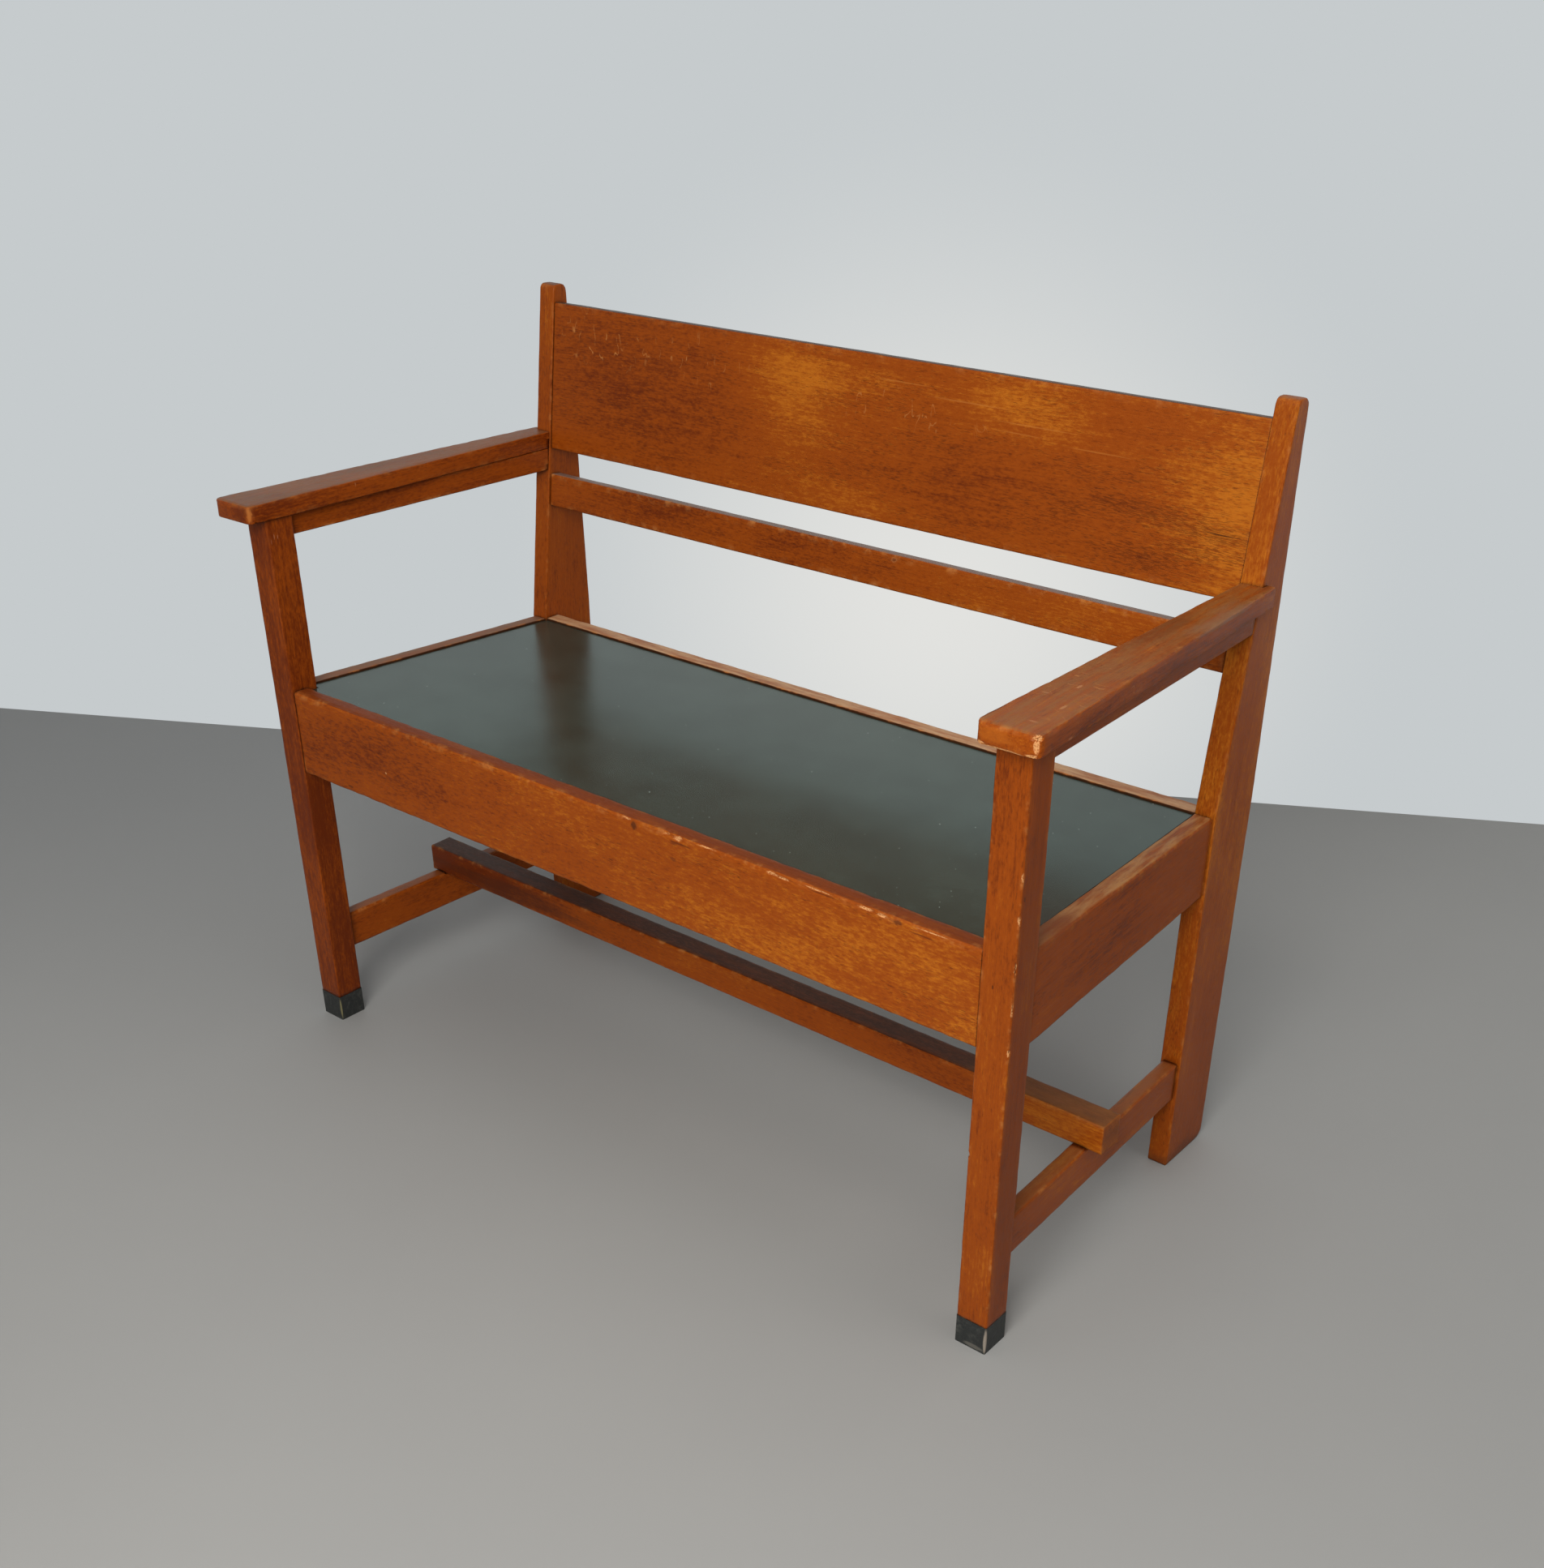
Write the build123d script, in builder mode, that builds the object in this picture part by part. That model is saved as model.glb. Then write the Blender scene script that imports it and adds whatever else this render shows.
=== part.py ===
from build123d import *
from math import atan2, cos, degrees, radians, sin, tan
import os

# Two-seat oak bench with open arms, a raked board back and a linoleum seat.
# Millimetres. X runs to the sitter's left hand, Y to the back, Z up.
# The origin is on the floor, under the middle of the bench.

# Driving sizes of the whole bench
front_width = 1040          # over the outer faces of the front legs
side_toe_in = 20            # how far each side draws in between its leg and its post
leg_to_post = 398           # front of the front legs to front of the rear posts
post_height = 834.5
arm_top = 666.5
seat_rail_bottom = 346
rake_angle = 7.5            # degrees, how far the back leans

# Front legs
leg_side = 36
leg_arris = 1.2
leg_tenon_side = 20
leg_tenon_length = 12

# Shoes round the feet of the front legs
shoe_height = 33
shoe_wall = 2
shoe_floor = 3
shoe_corner = 1.2

# Rear posts, sawn from board
post_thickness = 24.5
post_depth = 82
post_top_depth = 21
post_top_front_radius = 7
post_top_back_radius = 9
post_heel_radius = 13
post_arris = 1.2

# Seat rails
rail_thickness = 21
front_rail_height = 101
side_rail_front_height = 98.7
side_rail_rear_height = 88.5
front_rail_setback = 1.5
rear_rail_setback = 1.5
side_rail_leg_inset = 2     # outer face behind the leg's outer face
side_rail_post_inset = 3    # outer face behind the post's outer face
rail_top_radius = 4
rail_inner_radius = 1.5

# Seat
panel_drop = 2.5            # linoleum below the tops of the rails
linoleum_thickness = 3
panel_thickness = 15
panel_gap = 1.2
ledger_width = 18
ledger_depth = 20
ledger_end_gap = 2

# Back
board_bottom = 646.3        # above the floor, at its front face
board_height = 170.7        # along the rake
board_setback = 2
board_thickness = 18
back_rail_bottom = 576.9
back_rail_height = 39.8
back_rail_setback = 3
back_rail_thickness = 18
back_edge_radius = 2.5

# Arms
arm_thickness = 20.5
arm_front_overhang = 25     # past the front of the legs
arm_outer_overhang = 20.6   # past the legs' outer faces, at the arm's front
arm_inner_overhang = 6      # past the legs' inner faces, at the arm's front
arm_post_overhang = 11.3    # past the posts' outer faces
arm_inner_setback = 0.8     # behind the posts' inner faces
arm_tongue_length = 12      # past the posts' front faces, outside them
arm_corner_radius = 7
arm_tongue_radius = 4
arm_edge_radius = 2
arm_dowel_diameter = 8
arm_dowel_length = 28
arm_dowel_cover = 1         # between an arm's dowel and the back board's tenon

# Rails under the arms
arm_rail_thickness = 22
arm_rail_height = 26
arm_rail_leg_inset = 4.6
arm_rail_post_inset = 0.6

# Stretchers
side_stretcher_bottom = 90.4
side_stretcher_height = 46.9
side_stretcher_thickness = 18
side_stretcher_leg_inset = 10
side_stretcher_post_inset = 3.4
long_stretcher_front = 195.6    # behind the front of the front legs
long_stretcher_width = 33.8
long_stretcher_height = 35.3
long_stretcher_overhang = 12.2  # past the side stretchers' outer faces
long_stretcher_shift = 5        # sits off centre, as fitted
halving_depth = 2
stretcher_arris = 1.5
stretcher_dowel_diameter = 8
stretcher_dowel_length = 40

# Joints
tenon_thickness = 8
tenon_length = 18
tenon_shoulder = 8          # above and below a tenon
board_tenon_length = 10
board_tenon_share = 0.72    # of the board's height
arm_rail_tenon_shoulder = 5
rail_tenon_gap = 6          # between the crossing tenons in a rear post
tenon_clearance = 0.2
tenon_end_clearance = 1
dowel_clearance = 0.1

# Screws through the ledgers
screw_diameter = 4
screw_head_diameter = 8
screw_head_height = 2.6
screw_length = 30
screw_clearance = 0.15
long_ledger_screws = 5
side_ledger_screws = 3

overrun = 60                # how far cutting shapes run past the wood

# Places worked out from the sizes
leg_front = -(leg_to_post + post_depth - arm_front_overhang) / 2
leg_back = leg_front + leg_side
post_front = leg_front + leg_to_post
post_back = post_front + post_depth
leg_outer = front_width / 2
leg_inner = leg_outer - leg_side
leg_middle = leg_outer - leg_side / 2
post_outer = leg_outer - side_toe_in
post_inner = post_outer - post_thickness
arm_bottom = arm_top - arm_thickness
rake = radians(rake_angle)
rear_rail_top = seat_rail_bottom + side_rail_rear_height
side_rail_run = post_front - leg_back
seat_fall = side_rail_front_height - side_rail_rear_height
seat_slope = atan2(seat_fall, side_rail_run)


def raked_front(height):
    """How far back a post's front face is at a height above its bend."""
    return post_front + (height - rear_rail_top) * tan(rake)


top_front = raked_front(post_height)
top_back = top_front + post_top_depth
back_plane = Plane(
    origin=(0, post_front, rear_rail_top),
    x_dir=(1, 0, 0),
    z_dir=(0, -cos(rake), sin(rake)),
)
seat_plane = Plane(
    origin=(0, leg_back, seat_rail_bottom + side_rail_front_height),
    x_dir=(1, 0, 0),
    z_dir=(0, sin(seat_slope), cos(seat_slope)),
)


def along_back(height):
    """Distance up the raked face from the bend to a height."""
    return (height - rear_rail_top) / cos(rake)


# Side members run between a front leg and a rear post and toe in
class SideRun:
    def __init__(self, leg_inset, post_inset, thickness, post_face):
        self.post_face = post_face
        front_outer = leg_outer - leg_inset
        rear_outer = post_outer - post_inset
        toe = atan2(front_outer - rear_outer, post_face - leg_back)
        self.half_width = thickness / 2 / cos(toe)
        self.front_x = front_outer - self.half_width
        self.rear_x = rear_outer - self.half_width
        self.toe = toe

    def middle(self, y):
        share = (y - leg_back) / (self.post_face - leg_back)
        return self.front_x + (self.rear_x - self.front_x) * share

    def plane_at(self, y, z):
        """Plane square to the run, its normal towards the back."""
        return Plane(
            origin=(self.middle(y), y, z),
            x_dir=(cos(self.toe), sin(self.toe), 0),
            z_dir=(-sin(self.toe), cos(self.toe), 0),
        )


side_rail_run_line = SideRun(side_rail_leg_inset, side_rail_post_inset, rail_thickness, post_front)
stretcher_run_line = SideRun(
    side_stretcher_leg_inset, side_stretcher_post_inset, side_stretcher_thickness, post_front
)
arm_rail_middle = arm_bottom - arm_rail_height / 2
arm_rail_run_line = SideRun(
    arm_rail_leg_inset, arm_rail_post_inset, arm_rail_thickness, raked_front(arm_rail_middle)
)


# A tenon, or with clearance its mortise, lies on both sides of the shoulder's plane
def tenon_block(plane, width, height, length, mode=Mode.ADD):
    with BuildSketch(plane) as section:
        Rectangle(width, height)
    extrude(section.sketch, amount=length, both=True, mode=mode)


def cut_mortise(plane, width, height, length):
    tenon_block(
        plane,
        width + 2 * tenon_clearance,
        height + 2 * tenon_clearance,
        length + tenon_end_clearance,
        mode=Mode.SUBTRACT,
    )


# The two ends of each side member: its planes and the height of its tenons
crossing_height = (side_rail_rear_height - 2 * tenon_shoulder - rail_tenon_gap) / 2
side_rail_tenon_z = seat_rail_bottom + tenon_shoulder + crossing_height / 2
side_rail_leg_joint = side_rail_run_line.plane_at(leg_back, side_rail_tenon_z)
side_rail_post_joint = side_rail_run_line.plane_at(post_front, side_rail_tenon_z)
stretcher_z = side_stretcher_bottom + side_stretcher_height / 2
stretcher_tenon_height = side_stretcher_height - 2 * tenon_shoulder
stretcher_leg_joint = stretcher_run_line.plane_at(leg_back, stretcher_z)
stretcher_post_joint = stretcher_run_line.plane_at(post_front, stretcher_z)
arm_rail_tenon_height = arm_rail_height - 2 * arm_rail_tenon_shoulder
arm_rail_leg_joint = arm_rail_run_line.plane_at(leg_back, arm_rail_middle)
arm_rail_post_joint = arm_rail_run_line.plane_at(raked_front(arm_rail_middle), arm_rail_middle)

# The long members' joints on the right-hand side of the bench
front_rail_middle_y = leg_front + front_rail_setback + rail_thickness / 2
front_rail_z = seat_rail_bottom + front_rail_height / 2
front_rail_tenon_height = front_rail_height - 2 * tenon_shoulder
front_rail_joint = Plane(
    origin=(leg_inner, front_rail_middle_y, front_rail_z), x_dir=(0, 1, 0), z_dir=(1, 0, 0)
)
rear_rail_middle_y = post_front + rear_rail_setback + rail_thickness / 2
rear_rail_tenon_z = rear_rail_top - tenon_shoulder - crossing_height / 2
rear_rail_joint = Plane(
    origin=(post_inner, rear_rail_middle_y, rear_rail_tenon_z), x_dir=(0, 1, 0), z_dir=(1, 0, 0)
)


def back_joint(low, height, setback, thickness):
    """Plane of the post's inner face at a back member's end, square to the rake."""
    middle = back_plane.offset(-setback - thickness / 2)
    centre = middle.from_local_coords(Vector(post_inner, along_back(low) + height / 2, 0))
    return Plane(origin=centre, x_dir=middle.z_dir, z_dir=(1, 0, 0))


board_joint = back_joint(board_bottom, board_height, board_setback, board_thickness)
board_tenon_height = board_height * board_tenon_share
back_rail_joint = back_joint(
    back_rail_bottom, back_rail_height, back_rail_setback, back_rail_thickness
)
back_rail_tenon_height = back_rail_height - 2 * tenon_shoulder

# The dowel between an arm's end and its post lies level, along Y
arm_middle_z = arm_bottom + arm_thickness / 2
arm_dowel_x = (
    post_inner + board_tenon_length + tenon_end_clearance + arm_dowel_cover + arm_dowel_diameter / 2
)
arm_dowel_plane = Plane(
    origin=(arm_dowel_x, raked_front(arm_middle_z), arm_middle_z),
    x_dir=(1, 0, 0),
    z_dir=(0, 1, 0),
)


def drill_arm_dowel():
    with BuildSketch(arm_dowel_plane) as bore:
        Circle(arm_dowel_diameter / 2 + dowel_clearance)
    depth = arm_dowel_length / 2 + tenon_end_clearance
    extrude(bore.sketch, amount=depth, both=True, mode=Mode.SUBTRACT)


# Screws through the ledgers, each placed by the plane of the ledger's free face
ledger_top_drop = panel_drop + linoleum_thickness + panel_thickness
ledger_middle_drop = ledger_top_drop + ledger_depth / 2
front_rail_inner = leg_front + front_rail_setback + rail_thickness
rear_rail_inner = post_front + rear_rail_setback
front_ledger_face = front_rail_inner + ledger_width
rear_ledger_face = rear_rail_inner - ledger_width


def seat_height(y, drop):
    """Height of a plane that lies a drop below the tops of the side rails."""
    return seat_plane.origin.Z - (y - leg_back) * tan(seat_slope) - drop / cos(seat_slope)


def screw_shape(grow=0, mode=Mode.ADD):
    """One countersunk screw, its head at the local origin and its point up the local Z."""
    shank = screw_diameter / 2 + grow
    head = screw_head_diameter / 2 + grow
    lowest = (Align.CENTER, Align.CENTER, Align.MIN)
    Cylinder(shank, screw_length + grow, align=lowest, mode=mode)
    Cone(head, shank, screw_head_height, align=lowest, mode=mode)


long_ledger_length = 2 * (leg_inner - ledger_end_gap)
long_screw_step = long_ledger_length / long_ledger_screws
front_screw_plane = Plane(
    origin=(0, front_ledger_face, seat_height(front_ledger_face, ledger_middle_drop)),
    x_dir=(1, 0, 0),
    z_dir=(0, -1, 0),
)
rear_screw_plane = Plane(
    origin=(0, rear_ledger_face, seat_height(rear_ledger_face, ledger_middle_drop)),
    x_dir=(1, 0, 0),
    z_dir=(0, 1, 0),
)
side_ledger_front = max(leg_back, front_ledger_face) + ledger_end_gap
side_ledger_rear = rear_ledger_face - ledger_end_gap
side_ledger_length = side_ledger_rear - side_ledger_front
side_screw_planes = []
for number in range(side_ledger_screws):
    screw_y = side_ledger_front + side_ledger_length * (number + 0.5) / side_ledger_screws
    face_offset = rail_thickness / 2 + ledger_width
    toe = side_rail_run_line.toe
    side_screw_planes.append(
        Plane(
            origin=(
                side_rail_run_line.middle(screw_y) - face_offset / cos(toe),
                screw_y,
                seat_height(screw_y, ledger_middle_drop),
            ),
            x_dir=(-sin(toe), cos(toe), 0),
            z_dir=(cos(toe), sin(toe), 0),
        )
    )


def drill_long_screws(plane):
    with Locations(plane):
        with GridLocations(long_screw_step, 0, long_ledger_screws, 1):
            screw_shape(screw_clearance, Mode.SUBTRACT)


def drill_side_screws():
    for plane in side_screw_planes:
        with Locations(plane):
            screw_shape(screw_clearance, Mode.SUBTRACT)


def save(builder, name):
    builder.part.label = name
    export_step(builder.part, f"parts/{name}.step")


def save_pair(builder, right_name, left_name):
    """Write a right-hand piece and its mirror image."""
    save(builder, right_name)
    with BuildPart() as mirrored:
        mirror(builder.part, about=Plane.YZ)
    save(mirrored, left_name)


os.makedirs("parts", exist_ok=True)

# Front legs: square, with a rebated foot and a stub tenon for the arm
foot_side = leg_side - 2 * shoe_wall
with BuildPart() as front_leg:
    with BuildSketch(Plane.XY.offset(shoe_height)):
        with Locations((leg_middle, leg_front + leg_side / 2)):
            Rectangle(leg_side, leg_side)
    extrude(amount=arm_bottom - shoe_height)
    chamfer(front_leg.edges().filter_by(Axis.Z), length=leg_arris)
    with BuildSketch(Plane.XY.offset(shoe_floor)):
        with Locations((leg_middle, leg_front + leg_side / 2)):
            Rectangle(foot_side, foot_side)
    extrude(amount=shoe_height - shoe_floor)
    with BuildSketch(Plane.XY.offset(arm_bottom)):
        with Locations((leg_middle, leg_front + leg_side / 2)):
            Rectangle(leg_tenon_side, leg_tenon_side)
    extrude(amount=leg_tenon_length)
    cut_mortise(front_rail_joint, tenon_thickness, front_rail_tenon_height, tenon_length)
    cut_mortise(side_rail_leg_joint, tenon_thickness, crossing_height, tenon_length)
    cut_mortise(stretcher_leg_joint, tenon_thickness, stretcher_tenon_height, tenon_length)
    cut_mortise(arm_rail_leg_joint, tenon_thickness, arm_rail_tenon_height, tenon_length)
save_pair(front_leg, "front_right_leg", "front_left_leg")

# Shoes: black cups let in flush round the feet of the front legs
with BuildPart() as shoe:
    with BuildSketch():
        with Locations((leg_middle, leg_front + leg_side / 2)):
            RectangleRounded(leg_side, leg_side, shoe_corner)
    extrude(amount=shoe_height)
    with BuildSketch(Plane.XY.offset(shoe_floor)):
        with Locations((leg_middle, leg_front + leg_side / 2)):
            Rectangle(foot_side, foot_side)
    extrude(amount=shoe_height - shoe_floor, mode=Mode.SUBTRACT)
save_pair(shoe, "front_right_shoe", "front_left_shoe")

# Rear posts: plumb to the seat, then raked, tapering to a rounded top
with BuildPart() as rear_post:
    with BuildSketch(Plane.YZ.offset(post_inner)):
        with BuildLine():
            Polyline(
                (post_front, 0),
                (post_front, rear_rail_top),
                (top_front, post_height),
                (top_back, post_height),
                (post_back, rear_rail_top),
                (post_back, 0),
                close=True,
            )
        make_face()
    extrude(amount=post_thickness)
    cross_edges = rear_post.edges().filter_by(Axis.X)
    top_edges = cross_edges.group_by(Axis.Z)[-1].sort_by(Axis.Y)
    heel_edge = cross_edges.group_by(Axis.Z)[0].sort_by(Axis.Y)[-1]
    fillet(top_edges[0], radius=post_top_front_radius)
    fillet(top_edges[-1], radius=post_top_back_radius)
    fillet(heel_edge, radius=post_heel_radius)
    chamfer(rear_post.faces().filter_by(Axis.X).edges(), length=post_arris)
    cut_mortise(side_rail_post_joint, tenon_thickness, crossing_height, tenon_length)
    cut_mortise(rear_rail_joint, tenon_thickness, crossing_height, tenon_length)
    cut_mortise(stretcher_post_joint, tenon_thickness, stretcher_tenon_height, tenon_length)
    cut_mortise(arm_rail_post_joint, tenon_thickness, arm_rail_tenon_height, tenon_length)
    cut_mortise(board_joint, tenon_thickness, board_tenon_height, board_tenon_length)
    cut_mortise(back_rail_joint, tenon_thickness, back_rail_tenon_height, board_tenon_length)
    drill_arm_dowel()
save_pair(rear_post, "rear_right_post", "rear_left_post")

# Front seat rail, between the legs
with BuildPart() as front_seat_rail:
    with BuildSketch(Plane.XY.offset(seat_rail_bottom)):
        with Locations((0, front_rail_middle_y)):
            Rectangle(2 * leg_inner, rail_thickness)
    extrude(amount=front_rail_height)
    top_edges = front_seat_rail.edges().filter_by(Axis.X).group_by(Axis.Z)[-1].sort_by(Axis.Y)
    fillet(top_edges[0], radius=rail_top_radius)
    fillet(top_edges[-1], radius=rail_inner_radius)
    tenon_block(front_rail_joint, tenon_thickness, front_rail_tenon_height, tenon_length)
    mirror(about=Plane.YZ)
    drill_long_screws(front_screw_plane)
save(front_seat_rail, "front_seat_rail")

# Rear seat rail, between the rear posts
with BuildPart() as rear_seat_rail:
    with BuildSketch(Plane.XY.offset(seat_rail_bottom)):
        with Locations((0, rear_rail_middle_y)):
            Rectangle(2 * post_inner, rail_thickness)
    extrude(amount=side_rail_rear_height)
    top_edges = rear_seat_rail.edges().filter_by(Axis.X).group_by(Axis.Z)[-1]
    fillet(top_edges, radius=rail_inner_radius)
    tenon_block(rear_rail_joint, tenon_thickness, crossing_height, tenon_length)
    mirror(about=Plane.YZ)
    drill_long_screws(rear_screw_plane)
save(rear_seat_rail, "rear_seat_rail")

# Side seat rails: level below, falling to the back above
with BuildPart() as side_seat_rail:
    with BuildSketch(Plane.XY.offset(seat_rail_bottom)):
        half = side_rail_run_line.half_width
        Polygon(
            (side_rail_run_line.front_x - half, leg_back),
            (side_rail_run_line.front_x + half, leg_back),
            (side_rail_run_line.rear_x + half, post_front),
            (side_rail_run_line.rear_x - half, post_front),
            align=None,
        )
    extrude(amount=side_rail_front_height + overrun)
    split(bisect_by=seat_plane, keep=Keep.BOTTOM)
    long_top_edges = side_seat_rail.faces().sort_by(Axis.Z)[-1].edges().sort_by(Axis.X)
    fillet(long_top_edges[-1], radius=rail_top_radius)
    fillet(long_top_edges[0], radius=rail_inner_radius)
    tenon_block(side_rail_leg_joint, tenon_thickness, crossing_height, tenon_length)
    tenon_block(side_rail_post_joint, tenon_thickness, crossing_height, tenon_length)
    drill_side_screws()
save_pair(side_seat_rail, "right_seat_rail", "left_seat_rail")


# Seat panel and its linoleum: one outline, notched round the front legs
def side_rail_inner(y):
    return side_rail_run_line.middle(y) - side_rail_run_line.half_width


seat_front_edge = front_rail_inner + panel_gap
seat_rear_edge = rear_rail_inner - panel_gap
seat_rear_half = min(side_rail_inner(post_front), post_inner) - panel_gap


def seat_slab(low_drop, high_drop):
    with BuildSketch(Plane.XY.offset(seat_rail_bottom)) as plan:
        with BuildLine() as outline:
            Polyline(
                (0, seat_front_edge),
                (leg_inner - panel_gap, seat_front_edge),
                (leg_inner - panel_gap, leg_back + panel_gap),
                (side_rail_inner(leg_back) - panel_gap, leg_back + panel_gap),
                (seat_rear_half, seat_rear_edge),
                (0, seat_rear_edge),
            )
            mirror(about=Plane.YZ)
        make_face()
    extrude(plan.sketch, amount=side_rail_front_height + overrun)
    split(bisect_by=seat_plane.offset(-high_drop), keep=Keep.BOTTOM)
    split(bisect_by=seat_plane.offset(-low_drop), keep=Keep.TOP)


linoleum_bottom_drop = panel_drop + linoleum_thickness
with BuildPart() as seat_panel:
    seat_slab(ledger_top_drop, linoleum_bottom_drop)
save(seat_panel, "seat_panel")

with BuildPart() as seat_linoleum:
    seat_slab(linoleum_bottom_drop, panel_drop)
save(seat_linoleum, "seat_linoleum")


# Ledgers: strips screwed inside the rails, carrying the panel
def trim_ledger():
    split(bisect_by=seat_plane.offset(-ledger_top_drop), keep=Keep.BOTTOM)
    split(bisect_by=seat_plane.offset(-ledger_top_drop - ledger_depth), keep=Keep.TOP)


with BuildPart() as front_ledger:
    with BuildSketch(Plane.XY.offset(seat_rail_bottom)):
        with Locations((0, front_rail_inner + ledger_width / 2)):
            Rectangle(long_ledger_length, ledger_width)
    extrude(amount=front_rail_height)
    trim_ledger()
    drill_long_screws(front_screw_plane)
save(front_ledger, "front_ledger")

with BuildPart() as rear_ledger:
    with BuildSketch(Plane.XY.offset(seat_rail_bottom)):
        with Locations((0, rear_rail_inner - ledger_width / 2)):
            Rectangle(2 * (post_inner - ledger_end_gap), ledger_width)
    extrude(amount=side_rail_rear_height)
    trim_ledger()
    drill_long_screws(rear_screw_plane)
save(rear_ledger, "rear_ledger")

with BuildPart() as side_ledger:
    with BuildSketch(Plane.XY.offset(seat_rail_bottom)):
        across = ledger_width / cos(side_rail_run_line.toe)
        Polygon(
            (side_rail_inner(side_ledger_front) - across, side_ledger_front),
            (side_rail_inner(side_ledger_front), side_ledger_front),
            (side_rail_inner(side_ledger_rear), side_ledger_rear),
            (side_rail_inner(side_ledger_rear) - across, side_ledger_rear),
            align=None,
        )
    extrude(amount=front_rail_height)
    trim_ledger()
    drill_side_screws()
save_pair(side_ledger, "right_ledger", "left_ledger")

# Screws that hold the ledgers
with BuildPart() as ledger_screws:
    for plane in side_screw_planes:
        with Locations(plane):
            screw_shape()
    mirror(about=Plane.YZ)
    for plane in (front_screw_plane, rear_screw_plane):
        with Locations(plane):
            with GridLocations(long_screw_step, 0, long_ledger_screws, 1):
                screw_shape()
save(ledger_screws, "ledger_screws")


# Back board and lower back rail, set back from the posts' raked faces
def back_member(low, height, setback, thickness):
    with BuildSketch(back_plane.offset(-setback)) as face:
        with Locations((0, along_back(low) + height / 2)):
            Rectangle(2 * post_inner, height)
    extrude(face.sketch, amount=-thickness)


with BuildPart() as back_board:
    back_member(board_bottom, board_height, board_setback, board_thickness)
    fillet(back_board.edges().filter_by(Axis.X), radius=back_edge_radius)
    tenon_block(board_joint, tenon_thickness, board_tenon_height, board_tenon_length)
    mirror(about=Plane.YZ)
save(back_board, "back_board")

with BuildPart() as lower_back_rail:
    back_member(back_rail_bottom, back_rail_height, back_rail_setback, back_rail_thickness)
    fillet(lower_back_rail.edges().filter_by(Axis.X), radius=back_edge_radius)
    tenon_block(back_rail_joint, tenon_thickness, back_rail_tenon_height, board_tenon_length)
    mirror(about=Plane.YZ)
save(lower_back_rail, "lower_back_rail")

# Arms: taper to the back, where they are notched round the posts
arm_front = leg_front - arm_front_overhang
arm_rear = raked_front(arm_middle_z)
tongue_end = arm_rear + arm_tongue_length
arm_front_outer = leg_outer + arm_outer_overhang
arm_rear_outer = post_outer + arm_post_overhang
arm_outer_slope = (arm_front_outer - arm_rear_outer) / (arm_rear - arm_front)
with BuildPart() as arm:
    with BuildSketch(Plane.XY.offset(arm_bottom)) as arm_plan:
        Polygon(
            (leg_inner - arm_inner_overhang, arm_front),
            (arm_front_outer, arm_front),
            (arm_rear_outer - arm_tongue_length * arm_outer_slope, tongue_end),
            (post_inner + arm_inner_setback, tongue_end),
            align=None,
        )
        fillet(arm_plan.vertices().group_by(Axis.Y)[0], radius=arm_corner_radius)
        rear_outer_corner = arm_plan.vertices().group_by(Axis.Y)[-1].sort_by(Axis.X)[-1]
        fillet(rear_outer_corner, radius=arm_tongue_radius)
    extrude(amount=arm_thickness)
    top_face = arm.faces().sort_by(Axis.Z)[-1]
    bottom_face = arm.faces().sort_by(Axis.Z)[0]
    fillet(top_face.edges() + bottom_face.edges(), radius=arm_edge_radius)
    with BuildSketch(Plane.YZ.offset(post_outer)):
        Polygon(
            (raked_front(arm_bottom - overrun), arm_bottom - overrun),
            (raked_front(arm_top + overrun), arm_top + overrun),
            (post_back + overrun, arm_top + overrun),
            (post_back + overrun, arm_bottom - overrun),
            align=None,
        )
    extrude(amount=-post_thickness - overrun, mode=Mode.SUBTRACT)
    with BuildSketch(Plane.XY.offset(arm_bottom)):
        with Locations((leg_middle, leg_front + leg_side / 2)):
            Rectangle(leg_tenon_side + 2 * tenon_clearance, leg_tenon_side + 2 * tenon_clearance)
    extrude(amount=leg_tenon_length + tenon_end_clearance, mode=Mode.SUBTRACT)
    drill_arm_dowel()
save_pair(arm, "right_arm", "left_arm")

# Dowels between the arms and the rear posts
with BuildPart() as arm_dowels:
    with BuildSketch(arm_dowel_plane):
        Circle(arm_dowel_diameter / 2)
    extrude(amount=arm_dowel_length / 2, both=True)
    mirror(about=Plane.YZ)
save(arm_dowels, "arm_dowels")

# Rails under the arms, their back ends cut to the rake
with BuildPart() as arm_rail:
    with BuildSketch(Plane.XY.offset(arm_bottom - arm_rail_height)):
        half = arm_rail_run_line.half_width
        Polygon(
            (arm_rail_run_line.front_x - half, leg_back),
            (arm_rail_run_line.front_x + half, leg_back),
            (arm_rail_run_line.middle(post_back) + half, post_back),
            (arm_rail_run_line.middle(post_back) - half, post_back),
            align=None,
        )
    extrude(amount=arm_rail_height)
    split(bisect_by=back_plane, keep=Keep.TOP)
    lower_edges = arm_rail.faces().sort_by(Axis.Z)[0].edges().sort_by(Axis.X)
    chamfer([lower_edges[0], lower_edges[-1]], length=leg_arris)
    tenon_block(arm_rail_leg_joint, tenon_thickness, arm_rail_tenon_height, tenon_length)
    tenon_block(arm_rail_post_joint, tenon_thickness, arm_rail_tenon_height, tenon_length)
save_pair(arm_rail, "right_arm_rail", "left_arm_rail")

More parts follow.
